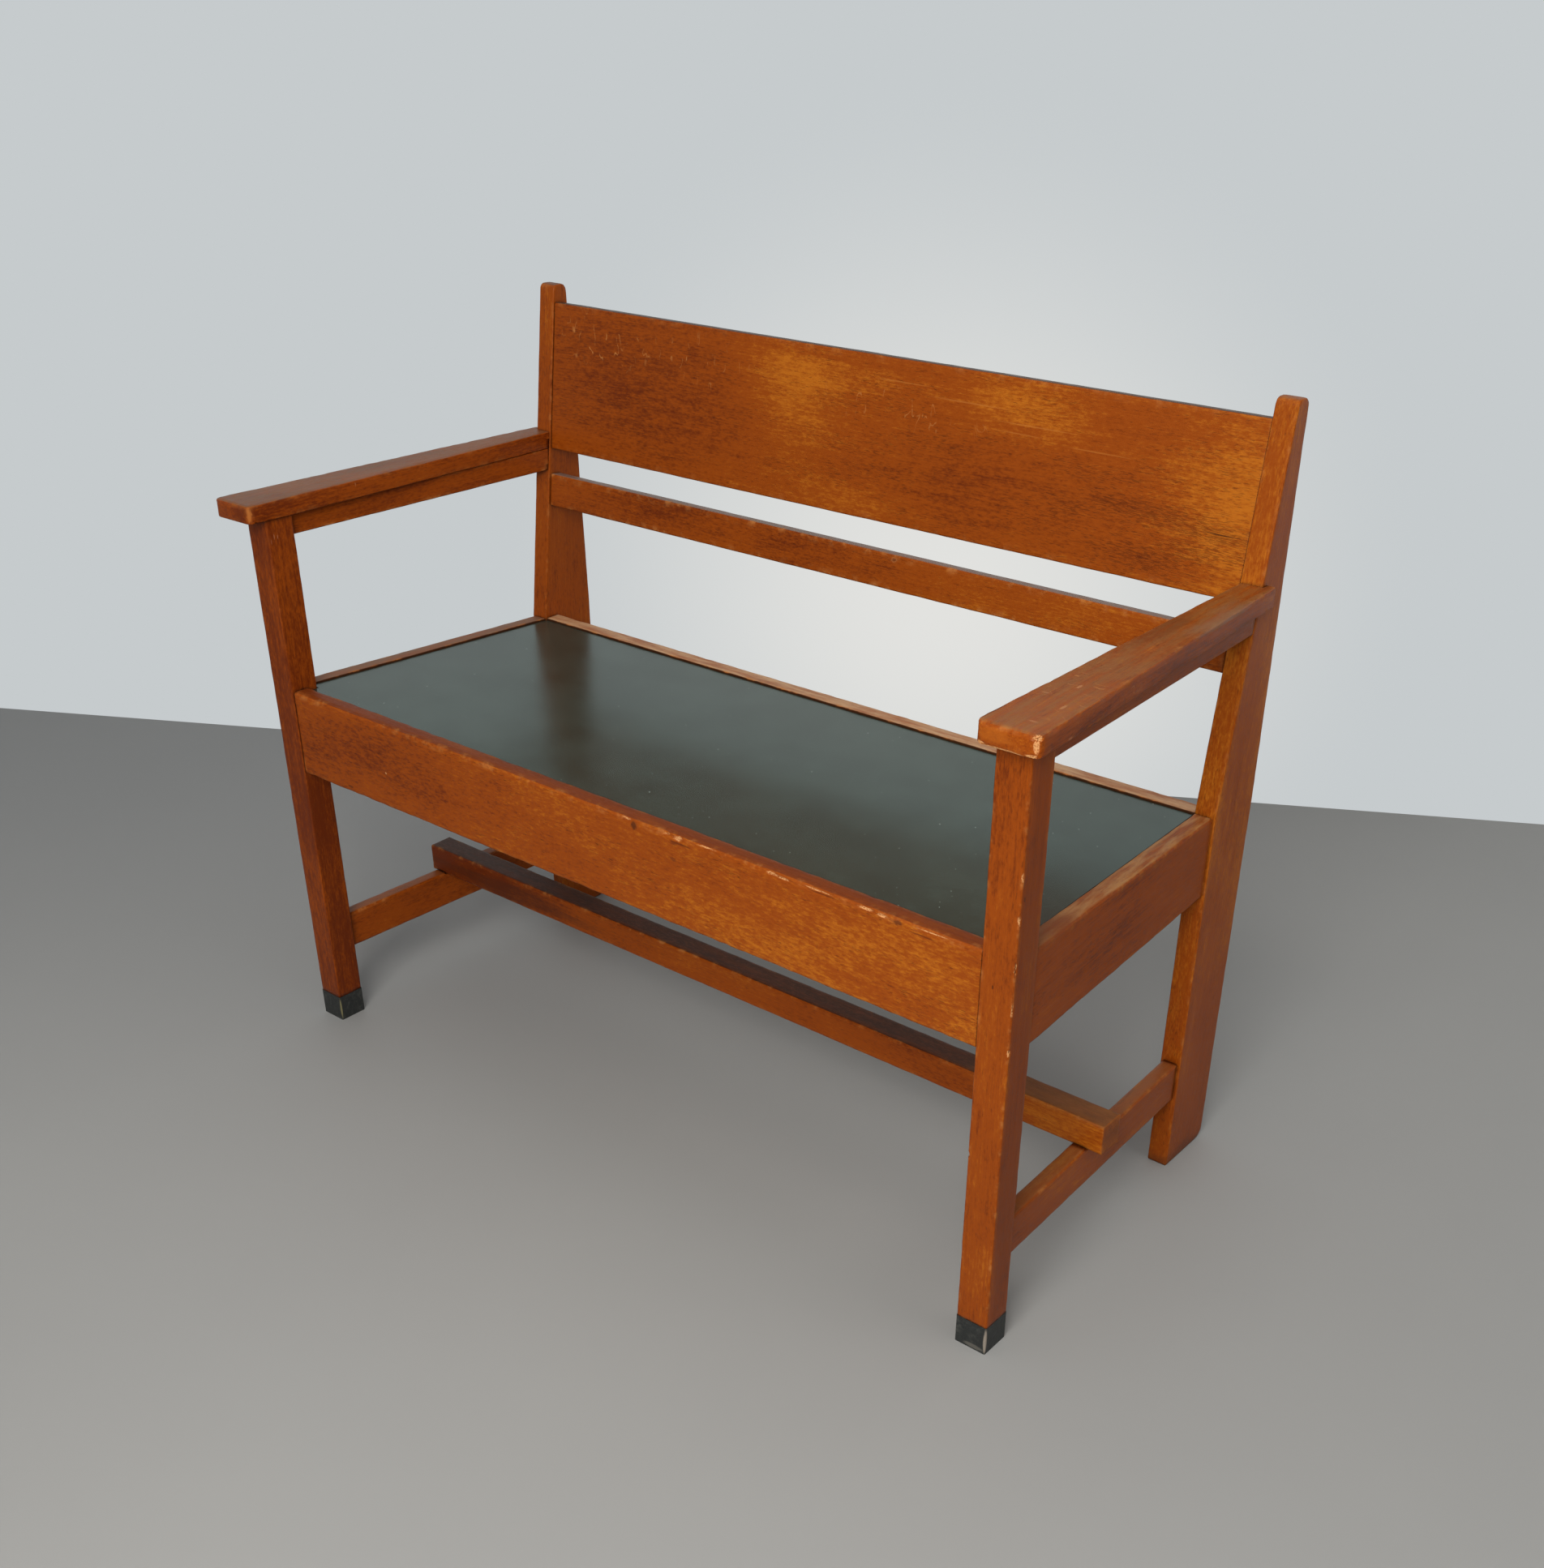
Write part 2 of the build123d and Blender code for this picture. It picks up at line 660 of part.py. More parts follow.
# Side stretchers, with a shallow halving and a dowel hole for the long one
long_stretcher_middle_y = leg_front + long_stretcher_front + long_stretcher_width / 2
long_stretcher_bottom = side_stretcher_bottom + side_stretcher_height - halving_depth
crossing_x = stretcher_run_line.middle(long_stretcher_middle_y)
long_stretcher_half = crossing_x + stretcher_run_line.half_width + long_stretcher_overhang
stretcher_dowel_plane = Plane.XY.offset(long_stretcher_bottom)
with BuildPart() as side_stretcher:
    with BuildSketch(Plane.XY.offset(side_stretcher_bottom)):
        half = stretcher_run_line.half_width
        Polygon(
            (stretcher_run_line.front_x - half, leg_back),
            (stretcher_run_line.front_x + half, leg_back),
            (stretcher_run_line.rear_x + half, post_front),
            (stretcher_run_line.rear_x - half, post_front),
            align=None,
        )
    extrude(amount=side_stretcher_height)
    end_faces = side_stretcher.faces().sort_by(Axis.Z)
    long_edges = end_faces[0].edges().sort_by(Axis.X)[::3] + end_faces[-1].edges().sort_by(Axis.X)[::3]
    chamfer(long_edges, length=stretcher_arris)
    tenon_block(stretcher_leg_joint, tenon_thickness, stretcher_tenon_height, tenon_length)
    tenon_block(stretcher_post_joint, tenon_thickness, stretcher_tenon_height, tenon_length)
    with BuildSketch(Plane.XY.offset(long_stretcher_bottom)):
        with Locations((crossing_x, long_stretcher_middle_y)):
            Rectangle(overrun, long_stretcher_width + 2 * tenon_clearance)
    extrude(amount=overrun, mode=Mode.SUBTRACT)
    with BuildSketch(stretcher_dowel_plane):
        with Locations((crossing_x, long_stretcher_middle_y)):
            Circle(stretcher_dowel_diameter / 2 + dowel_clearance)
    extrude(amount=-stretcher_dowel_length / 2 - tenon_end_clearance, mode=Mode.SUBTRACT)
save_pair(side_stretcher, "right_side_stretcher", "left_side_stretcher")

# Long stretcher, laid across the side ones
with BuildPart() as long_stretcher:
    with BuildSketch(Plane.XY.offset(long_stretcher_bottom)):
        with Locations((long_stretcher_shift, long_stretcher_middle_y)):
            Rectangle(2 * long_stretcher_half, long_stretcher_width)
    extrude(amount=long_stretcher_height)
    chamfer(long_stretcher.edges().filter_by(Axis.X), length=stretcher_arris)
    with BuildSketch(stretcher_dowel_plane):
        with Locations(
            (crossing_x, long_stretcher_middle_y), (-crossing_x, long_stretcher_middle_y)
        ):
            Circle(stretcher_dowel_diameter / 2 + dowel_clearance)
    extrude(amount=stretcher_dowel_length / 2 + tenon_end_clearance, mode=Mode.SUBTRACT)
save(long_stretcher, "long_stretcher")

# Dowels where the stretchers cross
with BuildPart() as stretcher_dowels:
    with BuildSketch(stretcher_dowel_plane):
        with Locations(
            (crossing_x, long_stretcher_middle_y), (-crossing_x, long_stretcher_middle_y)
        ):
            Circle(stretcher_dowel_diameter / 2)
    extrude(amount=stretcher_dowel_length / 2, both=True)
save(stretcher_dowels, "stretcher_dowels")

print("seat slope, degrees:", round(degrees(seat_slope), 2))
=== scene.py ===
import bpy
import bmesh
import math
import random
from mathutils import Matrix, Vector, noise
from mathutils.kdtree import KDTree


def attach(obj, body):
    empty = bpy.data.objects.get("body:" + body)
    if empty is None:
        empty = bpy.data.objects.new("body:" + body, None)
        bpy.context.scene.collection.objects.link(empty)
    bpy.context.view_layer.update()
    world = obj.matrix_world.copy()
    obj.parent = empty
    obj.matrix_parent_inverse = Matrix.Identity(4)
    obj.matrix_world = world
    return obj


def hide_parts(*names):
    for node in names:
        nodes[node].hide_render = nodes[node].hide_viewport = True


# Two-seat oak bench with a linoleum seat, dressed for its picture.
# Metres; X along the bench, Y to the back, Z up.

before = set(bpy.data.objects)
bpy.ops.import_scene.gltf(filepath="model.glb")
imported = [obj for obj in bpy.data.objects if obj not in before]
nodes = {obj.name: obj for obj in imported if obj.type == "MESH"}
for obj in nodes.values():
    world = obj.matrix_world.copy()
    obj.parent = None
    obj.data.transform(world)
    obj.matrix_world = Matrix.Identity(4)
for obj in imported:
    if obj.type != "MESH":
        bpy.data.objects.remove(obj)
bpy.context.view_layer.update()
scene = bpy.context.scene
mm = 0.001


# A colour as a screen shows it, 0 to 255, in the renderer's own numbers
def linear(red, green, blue):
    def channel(value):
        value = value / 255
        return value / 12.92 if value <= 0.04045 else ((value + 0.055) / 1.055) ** 2.4
    return (channel(red), channel(green), channel(blue), 1)


def addNode(tree, kind, inputs, **settings):
    made = tree.nodes.new(kind)
    for key, value in settings.items():
        setattr(made, key, value)
    for key, value in inputs.items():
        if isinstance(value, bpy.types.NodeSocket):
            tree.links.new(value, made.inputs[key])
        else:
            made.inputs[key].default_value = value
    return made


def calc(tree, operation, first, second=0.0, clamp=False):
    inputs = {0: first, 1: second}
    return addNode(tree, "ShaderNodeMath", inputs, operation=operation, use_clamp=clamp).outputs[0]


def times(tree, first, *others):
    for other in others:
        first = calc(tree, "MULTIPLY", first, other)
    return first


# A noise turned about its middle, then made stronger or weaker
def swing(tree, value, amount):
    return times(tree, calc(tree, "SUBTRACT", value, 0.5), amount)


def rangeOf(tree, value, low, high, toLow=0.0, toHigh=1.0):
    inputs = {"Value": value, "From Min": low, "From Max": high, "To Min": toLow, "To Max": toHigh}
    return addNode(tree, "ShaderNodeMapRange", inputs, interpolation_type="SMOOTHSTEP").outputs[0]


def vectorCalc(tree, operation, first, second=(0, 0, 0), output="Vector"):
    inputs = {0: first, 1: second}
    return addNode(tree, "ShaderNodeVectorMath", inputs, operation=operation).outputs[output]


# How far a place lies along a direction
def alongAxis(tree, place, axis):
    return vectorCalc(tree, "DOT_PRODUCT", place, axis, "Value")


def blendColour(tree, share, first, second):
    inputs = {0: share, 6: first, 7: second}
    return addNode(tree, "ShaderNodeMix", inputs, data_type="RGBA").outputs[2]


def cloudy(tree, place, scale, detail=2.0, rough=0.5, warp=0.0):
    inputs = {"Vector": place, "Scale": scale, "Detail": detail, "Roughness": rough, "Distortion": warp}
    return addNode(tree, "ShaderNodeTexNoise", inputs, noise_dimensions="3D").outputs["Fac"]


# Noise with one scale along the grain and another across it, both per metre
def grainy(tree, place, scales, detail=2.0, rough=0.5, warp=0.0):
    along, across = scales
    place = vectorCalc(tree, "MULTIPLY", place, (along, across, across))
    return cloudy(tree, place, 1.0, detail, rough, warp)


def objectPlace(tree):
    return addNode(tree, "ShaderNodeTexCoord", {}).outputs["Object"]


def surfaceFacts(tree):
    return addNode(tree, "ShaderNodeNewGeometry", {}).outputs


def rayFacts(tree):
    return addNode(tree, "ShaderNodeLightPath", {}).outputs


# Falls from 1 in the open to 0 where something stands close by
def openness(tree, reach, samples):
    return addNode(tree, "ShaderNodeAmbientOcclusion", {"Distance": reach}, samples=samples).outputs["AO"]


def newMaterial(name):
    made = bpy.data.materials.new(name)
    made.use_nodes = True
    tree = made.node_tree
    tree.nodes.clear()
    end = tree.nodes.new("ShaderNodeOutputMaterial")
    surface = tree.nodes.new("ShaderNodeBsdfPrincipled")
    tree.links.new(surface.outputs[0], end.inputs["Surface"])
    return made, tree, surface


def joinSurface(tree, surface, colour, rough, height=None, strength=0.3, depth=1 * mm):
    tree.links.new(colour, surface.inputs["Base Color"])
    tree.links.new(rough, surface.inputs["Roughness"])
    if height is not None:
        bump = {"Height": height, "Strength": strength, "Distance": depth}
        tree.links.new(addNode(tree, "ShaderNodeBump", bump).outputs[0], surface.inputs["Normal"])


def mixShaders(tree, share, first, second):
    return addNode(tree, "ShaderNodeMixShader", {0: share, 1: first, 2: second}).outputs[0]


# Lets a share of the surface be seen through
def openSurface(tree, share, shader):
    clear = addNode(tree, "ShaderNodeBsdfTransparent", {}).outputs[0]
    end = next(node for node in tree.nodes if node.type == "OUTPUT_MATERIAL")
    tree.links.new(mixShaders(tree, share, shader, clear), end.inputs["Surface"])


# Place in the wood: first number along the grain, the others across it
def grainPlace(tree, origin, grain, face):
    place = vectorCalc(tree, "SUBTRACT", objectPlace(tree), origin)
    grain = Vector(grain).normalized()
    face = Vector(face)
    face = (face - grain * face.dot(grain)).normalized()
    axes = (grain, face, grain.cross(face))
    parts = {slot: alongAxis(tree, place, tuple(axis)) for slot, axis in enumerate(axes)}
    return addNode(tree, "ShaderNodeCombineXYZ", parts).outputs[0]


# Soft-edged spots on the wood. For each kind: how ragged its edge is, and how soft
spotEdges = dict(cloud=(0.12, 1.0), scratch=(0.3, 0.8), chip=(0.6, 0.4), mark=(0.6, 0.6), shoe=(0.35, 0.4))
spotWave = dict(scale=1.6, detail=4.0, rough=0.65, apart=200)


# Centre and radii are in the bench's own metres
def spotMask(tree, centre, radii, kind):
    ragged, soft = spotEdges[kind]
    away = vectorCalc(tree, "SUBTRACT", objectPlace(tree), centre)
    scaled = vectorCalc(tree, "DIVIDE", away, radii)
    length = vectorCalc(tree, "LENGTH", scaled, output="Value")
    uneven = vectorCalc(tree, "ADD", scaled, tuple(spotWave["apart"] * part for part in centre))
    uneven = cloudy(tree, uneven, spotWave["scale"], spotWave["detail"], spotWave["rough"])
    length = calc(tree, "ADD", length, swing(tree, uneven, ragged * 2))
    return rangeOf(tree, length, 1.0, 1.0 - soft)


# Stained oak
oakFinish = dict(
    light=linear(178, 98, 20), middle=linear(144, 64, 8), dark=linear(100, 37, 7), pore=linear(46, 19, 7),
    pale=linear(192, 126, 66), bare=linear(212, 152, 96), grimeAndShade=linear(40, 22, 12),
    rough=0.42, roughSwing=0.4, rubbedRough=0.3, shine=0.24, shineTint=(1, 0.72, 0.45, 1),
    bumpStrength=0.35, bumpDepth=1.2 * mm, poreRelief=-0.12, mottleRelief=0.25, streakRelief=0.12,
)

# Its figure: how often each part changes along the grain and across it, per metre
oakFigure = dict(
    drift=(2.5, 9), rings=(2.5, 130), streaks=(16, 700), blotch=(6, 14), dapple=(40, 90), mottle=(150, 420),
    pores=(1 / (8 * mm), 1 / (0.7 * mm)), poreCrowd=(9, 55), patches=(60, 60), topStreaks=(18, 130),
    scratches=(60, 26), scratchGaps=(90, 90), crumbs=(500, 900),
)

# Strengths of the figure, and the levels between which each layer comes in
oakLevels = dict(
    sway=0.02, ringShare=0.6, dapple=0.35, crowd=(0.3, 0.7), poreLevel=(0.74, 0.6), poreEdge=(-0.02, 0.06),
    topFacing=(0.75, 0.97), topMottle=(0.25, 0.55), topThin=0.6, scratchEdge=(0.016, 0.003),
    scratchGaps=(0.5, 0.62), rubbed=(0.48, 0.7), rubShare=0.55, crumbs=(0.3, 0.55),
    dirtAndShade=(0.93, 0.6), dirtAndShadeWave=0.3, dirtAndShadeReach=8 * mm,
)

# Black line beside the linoleum, which falls to the back with the seat
seamLook = dict(slope=0.0282, top=0.4396, bottom=0.4384, wave=6 * mm, facing=(0.2, 0.6), share=0.9)

# What a piece has where its own look says nothing else
usualLook = dict(
    streaks=0.5, blotch=0.8, mottle=0.9, pores=0.4, rough=oakFinish["rough"], wear=1.0, dirtAndShade=0.75,
    clouds=(), flecks=(), scratches=(), chips=(), marks=(), rounds=(), top=None, seam=None, run=None,
    step=9 * mm, reach=4 * mm,
)


def oakMaterial(name, look):
    made, tree, surface = newMaterial(name)
    finish, figure, levels = oakFinish, oakFigure, oakLevels
    origin, grain, face = look["wood"]
    # the seed takes each piece's wood from another place
    seed = look["seed"]
    start = (origin[0] - seed, origin[1] + seed * 0.7, origin[2] - seed * 0.3)
    place = grainPlace(tree, start, grain, face)
    # slow drift bends the grain a little
    sway = swing(tree, grainy(tree, place, figure["drift"], 1.0), levels["sway"])
    bent = addNode(tree, "ShaderNodeCombineXYZ", {1: sway, 2: sway}).outputs[0]
    bent = vectorCalc(tree, "ADD", place, bent)
    # year rings as soft bands, then streaks, blotches, dapple and small mottle
    rings = grainy(tree, bent, figure["rings"], 2.0, 0.55)
    fine = grainy(tree, bent, figure["streaks"])
    blotch = grainy(tree, place, figure["blotch"], 3.0)
    dapple = grainy(tree, place, figure["dapple"], 3.0, 0.6)
    small = grainy(tree, place, figure["mottle"], 4.0, 0.65)
    layers = (
        (rings, levels["ringShare"] * look["streaks"]), (fine, look["streaks"]), (blotch, look["blotch"]),
        (dapple, levels["dapple"]), (small, look["mottle"]),
    )
    shade = look["tone"]
    for layer, amount in layers:
        shade = calc(tree, "ADD", swing(tree, layer, amount), shade)
    for centre, radii, amount in look["clouds"]:
        cloud = spotMask(tree, centre, radii, "cloud")
        shade = calc(tree, "ADD", shade, times(tree, cloud, amount))
    colour = blendColour(tree, rangeOf(tree, shade, 0.0, 0.5), finish["dark"], finish["middle"])
    colour = blendColour(tree, rangeOf(tree, shade, 0.5, 1.0), colour, finish["light"])
    # open pores: short dark flecks along the grain
    fleck = grainy(tree, bent, figure["pores"], 1.0, 0.4)
    crowd = grainy(tree, bent, figure["poreCrowd"])
    level = rangeOf(tree, crowd, *levels["crowd"], *levels["poreLevel"])
    for centre, radii, amount in look["flecks"]:
        crowded = spotMask(tree, centre, radii, "cloud")
        level = calc(tree, "SUBTRACT", level, times(tree, crowded, amount))
    pores = rangeOf(tree, calc(tree, "SUBTRACT", fleck, level), *levels["poreEdge"])
    colour = blendColour(tree, times(tree, pores, look["pores"]), colour, finish["pore"])
    # rubbed and dusty tops, with painted sheen and painted shade: upward faces take a tint
    patchy = grainy(tree, place, figure["patches"], 5.0, 0.65)
    if look["top"]:
        tint, share, patches = look["top"]
        up = addNode(tree, "ShaderNodeSeparateXYZ", {0: surfaceFacts(tree)["Normal"]}).outputs[2]
        up = rangeOf(tree, up, *levels["topFacing"])
        long = grainy(tree, place, figure["topStreaks"], 4.0, 0.6)
        long = rangeOf(tree, long, 0.4 - 0.35 * (1 - patches), 0.65, 1 - patches, 1.0)
        long = times(tree, long, rangeOf(tree, small, *levels["topMottle"], levels["topThin"], 1.0))
        colour = blendColour(tree, times(tree, up, long, share), colour, linear(*tint))
    # fine pale scratches in places
    for centre, radii, strength in look["scratches"]:
        where = spotMask(tree, centre, radii, "scratch")
        bends = grainy(tree, place, figure["scratches"], 2.0, 0.5, 0.3)
        line = calc(tree, "ABSOLUTE", calc(tree, "SUBTRACT", bends, 0.5))
        line = rangeOf(tree, line, *levels["scratchEdge"])
        gaps = rangeOf(tree, grainy(tree, place, figure["scratchGaps"]), *levels["scratchGaps"])
        colour = blendColour(tree, times(tree, line, gaps, where, strength), colour, finish["pale"])
    # worn arrises
    worn = addNode(tree, "ShaderNodeAttribute", {}, attribute_name="wear").outputs["Fac"]
    rub = calc(tree, "MULTIPLY", worn, rangeOf(tree, patchy, *levels["rubbed"]), clamp=True)
    rubbed = calc(tree, "MULTIPLY", rub, levels["rubShare"] * look["wear"], clamp=True)
    colour = blendColour(tree, rubbed, colour, finish["pale"])
    # chips down to bare wood, then single marks
    crumbs = rangeOf(tree, grainy(tree, place, figure["crumbs"], 3.0), *levels["crumbs"])
    broken = blendColour(tree, crumbs, finish["middle"], finish["bare"])
    for centre, radii, depth in look["chips"]:
        colour = blendColour(tree, spotMask(tree, centre, radii, "chip"), colour, broken)
    for centre, radii, tint, strength in look["marks"]:
        spot = spotMask(tree, centre, radii, "mark")
        colour = blendColour(tree, times(tree, spot, strength), colour, linear(*tint))
    # black seam along the linoleum, on the inner side of a seat rail
    if look["seam"]:
        facing = alongAxis(tree, surfaceFacts(tree)["Normal"], look["seam"])
        level = alongAxis(tree, objectPlace(tree), (0, seamLook["slope"], 1))
        level = calc(tree, "ADD", level, swing(tree, patchy, seamLook["wave"]))
        level = rangeOf(tree, level, seamLook["top"], seamLook["bottom"])
        seam = times(tree, rangeOf(tree, facing, *seamLook["facing"]), level, seamLook["share"])
        colour = blendColour(tree, seam, colour, finish["grimeAndShade"])
    # grime and painted shade in the corners where pieces meet: darker where ambient occlusion finds other
    # pieces close by
    uneven = times(tree, patchy, levels["dirtAndShadeWave"])
    corner = calc(tree, "ADD", openness(tree, levels["dirtAndShadeReach"], 4), uneven)
    dirtAndShade = times(tree, rangeOf(tree, corner, *levels["dirtAndShade"]), look["dirtAndShade"])
    colour = blendColour(tree, dirtAndShade, colour, finish["grimeAndShade"])
    # roughness and the small relief
    rough = calc(tree, "ADD", look["rough"], swing(tree, small, finish["roughSwing"]))
    rough = calc(tree, "ADD", rough, times(tree, rub, finish["rubbedRough"]), clamp=True)
    relief = times(tree, pores, finish["poreRelief"])
    relief = calc(tree, "ADD", relief, times(tree, small, finish["mottleRelief"]))
    relief = calc(tree, "ADD", relief, times(tree, fine, finish["streakRelief"]))
    joinSurface(tree, surface, colour, rough, relief, finish["bumpStrength"], finish["bumpDepth"])
    surface.inputs["Specular Tint"].default_value = finish["shineTint"]
    surface.inputs["Specular IOR Level"].default_value = finish["shine"]
    return made


def cutThrough(bm, faces, point, normal):
    geom = set(faces)
    for face in faces:
        geom.update(face.verts)
        geom.update(face.edges)
    made = bmesh.ops.bisect_plane(bm, geom=list(geom), dist=1e-6, plane_co=point, plane_no=normal)
    return [part for part in made["geom"] if isinstance(part, bmesh.types.BMFace)]


# Cuts in the middle first, so that each later cut meets only half the faces
def cutSlices(bm, faces, run, slices):
    if not slices or not faces:
        return
    half = len(slices) // 2
    at = slices[half]
    parts = cutThrough(bm, faces, run * at, run)
    below = [face for face in parts if face.calc_center_median().dot(run) < at]
    above = [face for face in parts if face.calc_center_median().dot(run) >= at]
    cutSlices(bm, below, run, slices[:half])
    cutSlices(bm, above, run, slices[half + 1:])


# How wood wears. An arris is hard, or soft and tightly rounded; the insets are shares of its reach
wearLook = dict(
    hard=math.radians(20), soft=math.radians(1.5), tightness=0.12 / mm, shortest=0.01 * mm,
    spacing=1.5 * mm, flat=math.radians(0.5), largeFace=400e-6, insets=(0.35, 1, 2.3), uneven=(0.8, 1.2),
    spotCuts=3, spotSpread=2.8, margin=3 * mm, paleReach=0.8, sharp=math.radians(50),
    coarse=55, fine=210, fineShare=0.35, least=0.1, swell=14, wave=0.12 * mm,
    crumble=500, crumbleShare=0.3, chipSpan=1.3,
)


# Points along each convex arris, with the way into the wood
def findArrises(bm):
    arrises = []
    for edge in bm.edges:
        length = edge.calc_length()
        if len(edge.link_faces) != 2 or not edge.is_convex or length < wearLook["shortest"]:
            continue
        angle = edge.calc_face_angle()
        width = min(face.calc_area() for face in edge.link_faces) / length
        tight = angle / max(width, wearLook["shortest"]) > wearLook["tightness"]
        if angle > wearLook["hard"] or (angle > wearLook["soft"] and tight):
            first, last = edge.verts[0].co, edge.verts[1].co
            count = max(1, int((last - first).length / wearLook["spacing"]))
            inward = -(edge.link_faces[0].normal + edge.link_faces[1].normal).normalized()
            for number in range(count + 1):
                arrises.append((first.lerp(last, number / count), inward))
    return arrises


# Finer mesh beside the arrises
def cutBesideArrises(bm, reach):
    planes = {}
    for face in bm.faces:
        if face.calc_area() > wearLook["largeFace"]:
            normal = face.normal
            depth = face.calc_center_median().dot(normal)
            planes[tuple(round(part, 2) for part in normal) + (round(depth, 4),)] = (normal.copy(), depth)
    for normal, depth in planes.values():
        for share in wearLook["insets"]:
            cutThrough(bm, bm.faces[:], normal * (depth - share * reach), normal)


# Slices of uneven length along the piece
def cutAlong(bm, run, step, draw):
    places = [vert.co.dot(run) for vert in bm.verts]
    at = min(places) + step
    slices = []
    while at < max(places) - 1 * mm:
        slices.append(at)
        at += step * draw.uniform(*wearLook["uneven"])
    cutSlices(bm, bm.faces[:], run, slices)


def nearFaces(faces, point, radii):
    found = []
    for face in faces:
        away = face.calc_center_median() - point
        if all(abs(part) < radius + wearLook["margin"] for part, radius in zip(away, radii)):
            found.append(face)
    return found


# Finer mesh round a chip or a rounded corner
def cutRound(bm, point, radii):
    cuts, spread = wearLook["spotCuts"], wearLook["spotSpread"]
    near = nearFaces(bm.faces, point, radii)
    for axis in sorted(range(3), key=lambda number: -radii[number]):
        normal = Vector([float(axis == number) for number in range(3)])
        for number in range(-cuts, cuts + 1):
            near = cutThrough(bm, near, point + normal * (radii[axis] * number / spread), normal)
        near = nearFaces(near, point, radii)


# How far from a spot, counted in its own radii; far off, nothing
def awayFrom(co, point, radii, share):
    if any(abs(co[axis] - point[axis]) >= share * radii[axis] for axis in (0, 1)):
        return None
    away = co - Vector(point)
    return Vector([part / radius for part, radius in zip(away, radii)]).length


# How far a point of the wood has worn, beside an arris that lies a distance off
def wearMove(vert, inward, distance, look):
    co, seed, reach = vert.co, look["seed"], look["reach"]
    near = max(0.0, 1 - distance / reach)
    rough = 0.5 + 0.5 * noise.noise(co * wearLook["coarse"] + Vector((seed, 0, 0)))
    rough += wearLook["fineShare"] * noise.noise(co * wearLook["fine"] + Vector((0, seed, 0)))
    move = inward * (near ** 2 * look["rub"] * max(wearLook["least"], rough))
    lift = 0.5 + 0.5 * noise.noise(co * wearLook["swell"] + Vector((0, 0, seed)))
    move -= vert.normal * (wearLook["wave"] * lift)
    for point, radii, depth in look["chips"]:
        away = awayFrom(co, point, radii, wearLook["chipSpan"])
        if away is not None:
            away += wearLook["crumbleShare"] * noise.noise(co * wearLook["crumble"])
            if away < 1:
                way = inward if distance < reach else -vert.normal
                move += way * (depth * (1 - away ** 2) ** 0.5)
    for point, radii, depth, way in look["rounds"]:
        away = awayFrom(co, point, radii, 1)
        if away is not None:
            move += Vector(way).normalized() * (depth * max(0.0, 1 - away) ** 2)
    return move


# Turns a CAD piece into a worn one: same joints and size, with rubbed arrises
def wornPiece(node, name, material, look):
    run = Vector(look["run"] or look["wood"][1]).normalized()
    bm = bmesh.new()
    bm.from_mesh(nodes[node].data)
    bmesh.ops.remove_doubles(bm, verts=bm.verts, dist=1e-6)
    bmesh.ops.dissolve_limit(bm, angle_limit=wearLook["flat"], verts=bm.verts, edges=bm.edges)
    arrises = findArrises(bm)
    cutBesideArrises(bm, look["reach"])
    cutAlong(bm, run, look["step"], random.Random(look["seed"]))
    for spot in look["chips"] + look["rounds"]:
        cutRound(bm, Vector(spot[0]), spot[1])
    nearest = KDTree(len(arrises))
    for number, (co, inward) in enumerate(arrises):
        nearest.insert(co, number)
    nearest.balance()
    bm.verts.ensure_lookup_table()
    wearAt = [0.0] * len(bm.verts)
    moves = []
    for vert in bm.verts:
        co, number, distance = nearest.find(vert.co)
        wearAt[vert.index] = max(0.0, 1 - distance / (wearLook["paleReach"] * look["reach"]))
        moves.append(wearMove(vert, arrises[number][1], distance, look))
    for vert, move in zip(bm.verts, moves):
        vert.co += move
    bmesh.ops.recalc_face_normals(bm, faces=bm.faces)
    for face in bm.faces:
        face.smooth = True
    mesh = bpy.data.meshes.new(name)
    bm.to_mesh(mesh)
    bm.free()
    mesh.attributes.new("wear", "FLOAT", "POINT").data.foreach_set("value", wearAt)
    mesh.set_sharp_from_angle(angle=wearLook["sharp"])
    mesh.materials.append(material)
    made = bpy.data.objects.new(name, mesh)
    scene.collection.objects.link(made)
    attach(made, "root")
    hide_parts(node)


def oakPiece(node, name, look):
    look = {**usualLook, **look}
    wornPiece(node, name, oakMaterial("oak " + name, look), look)


# A left and a right piece of each kind; the wood is given for the right one
def oakSides(*kinds):
    for side, sign in (("Left", -1), ("Right", 1)):
        for node, name, looks in kinds:
            wood = [(sign * x, y, z) for x, y, z in looks["wood"]]
            oakPiece(node.format(side.lower()), name + side, {**looks[side.lower()], "wood": wood})


def dressNode(node, material):
    for slot in nodes[node].material_slots:
        slot.link = "OBJECT"
        slot.material = material


# In the looks below, wood is where the grain starts, the way it runs and the face it shows; rub is
# how deep an arris is rubbed and reach how wide; run and step are the way and length of the slices;
# clouds and flecks are centre, radii and amount; chips are centre, radii and depth; rounds are the
# same with a way; marks are centre, radii, tint and strength; scratches are centre, radii and
# strength; top is the tint on upward faces, its share and how patchy it is; seam is the way a rail
# looks at the linoleum.

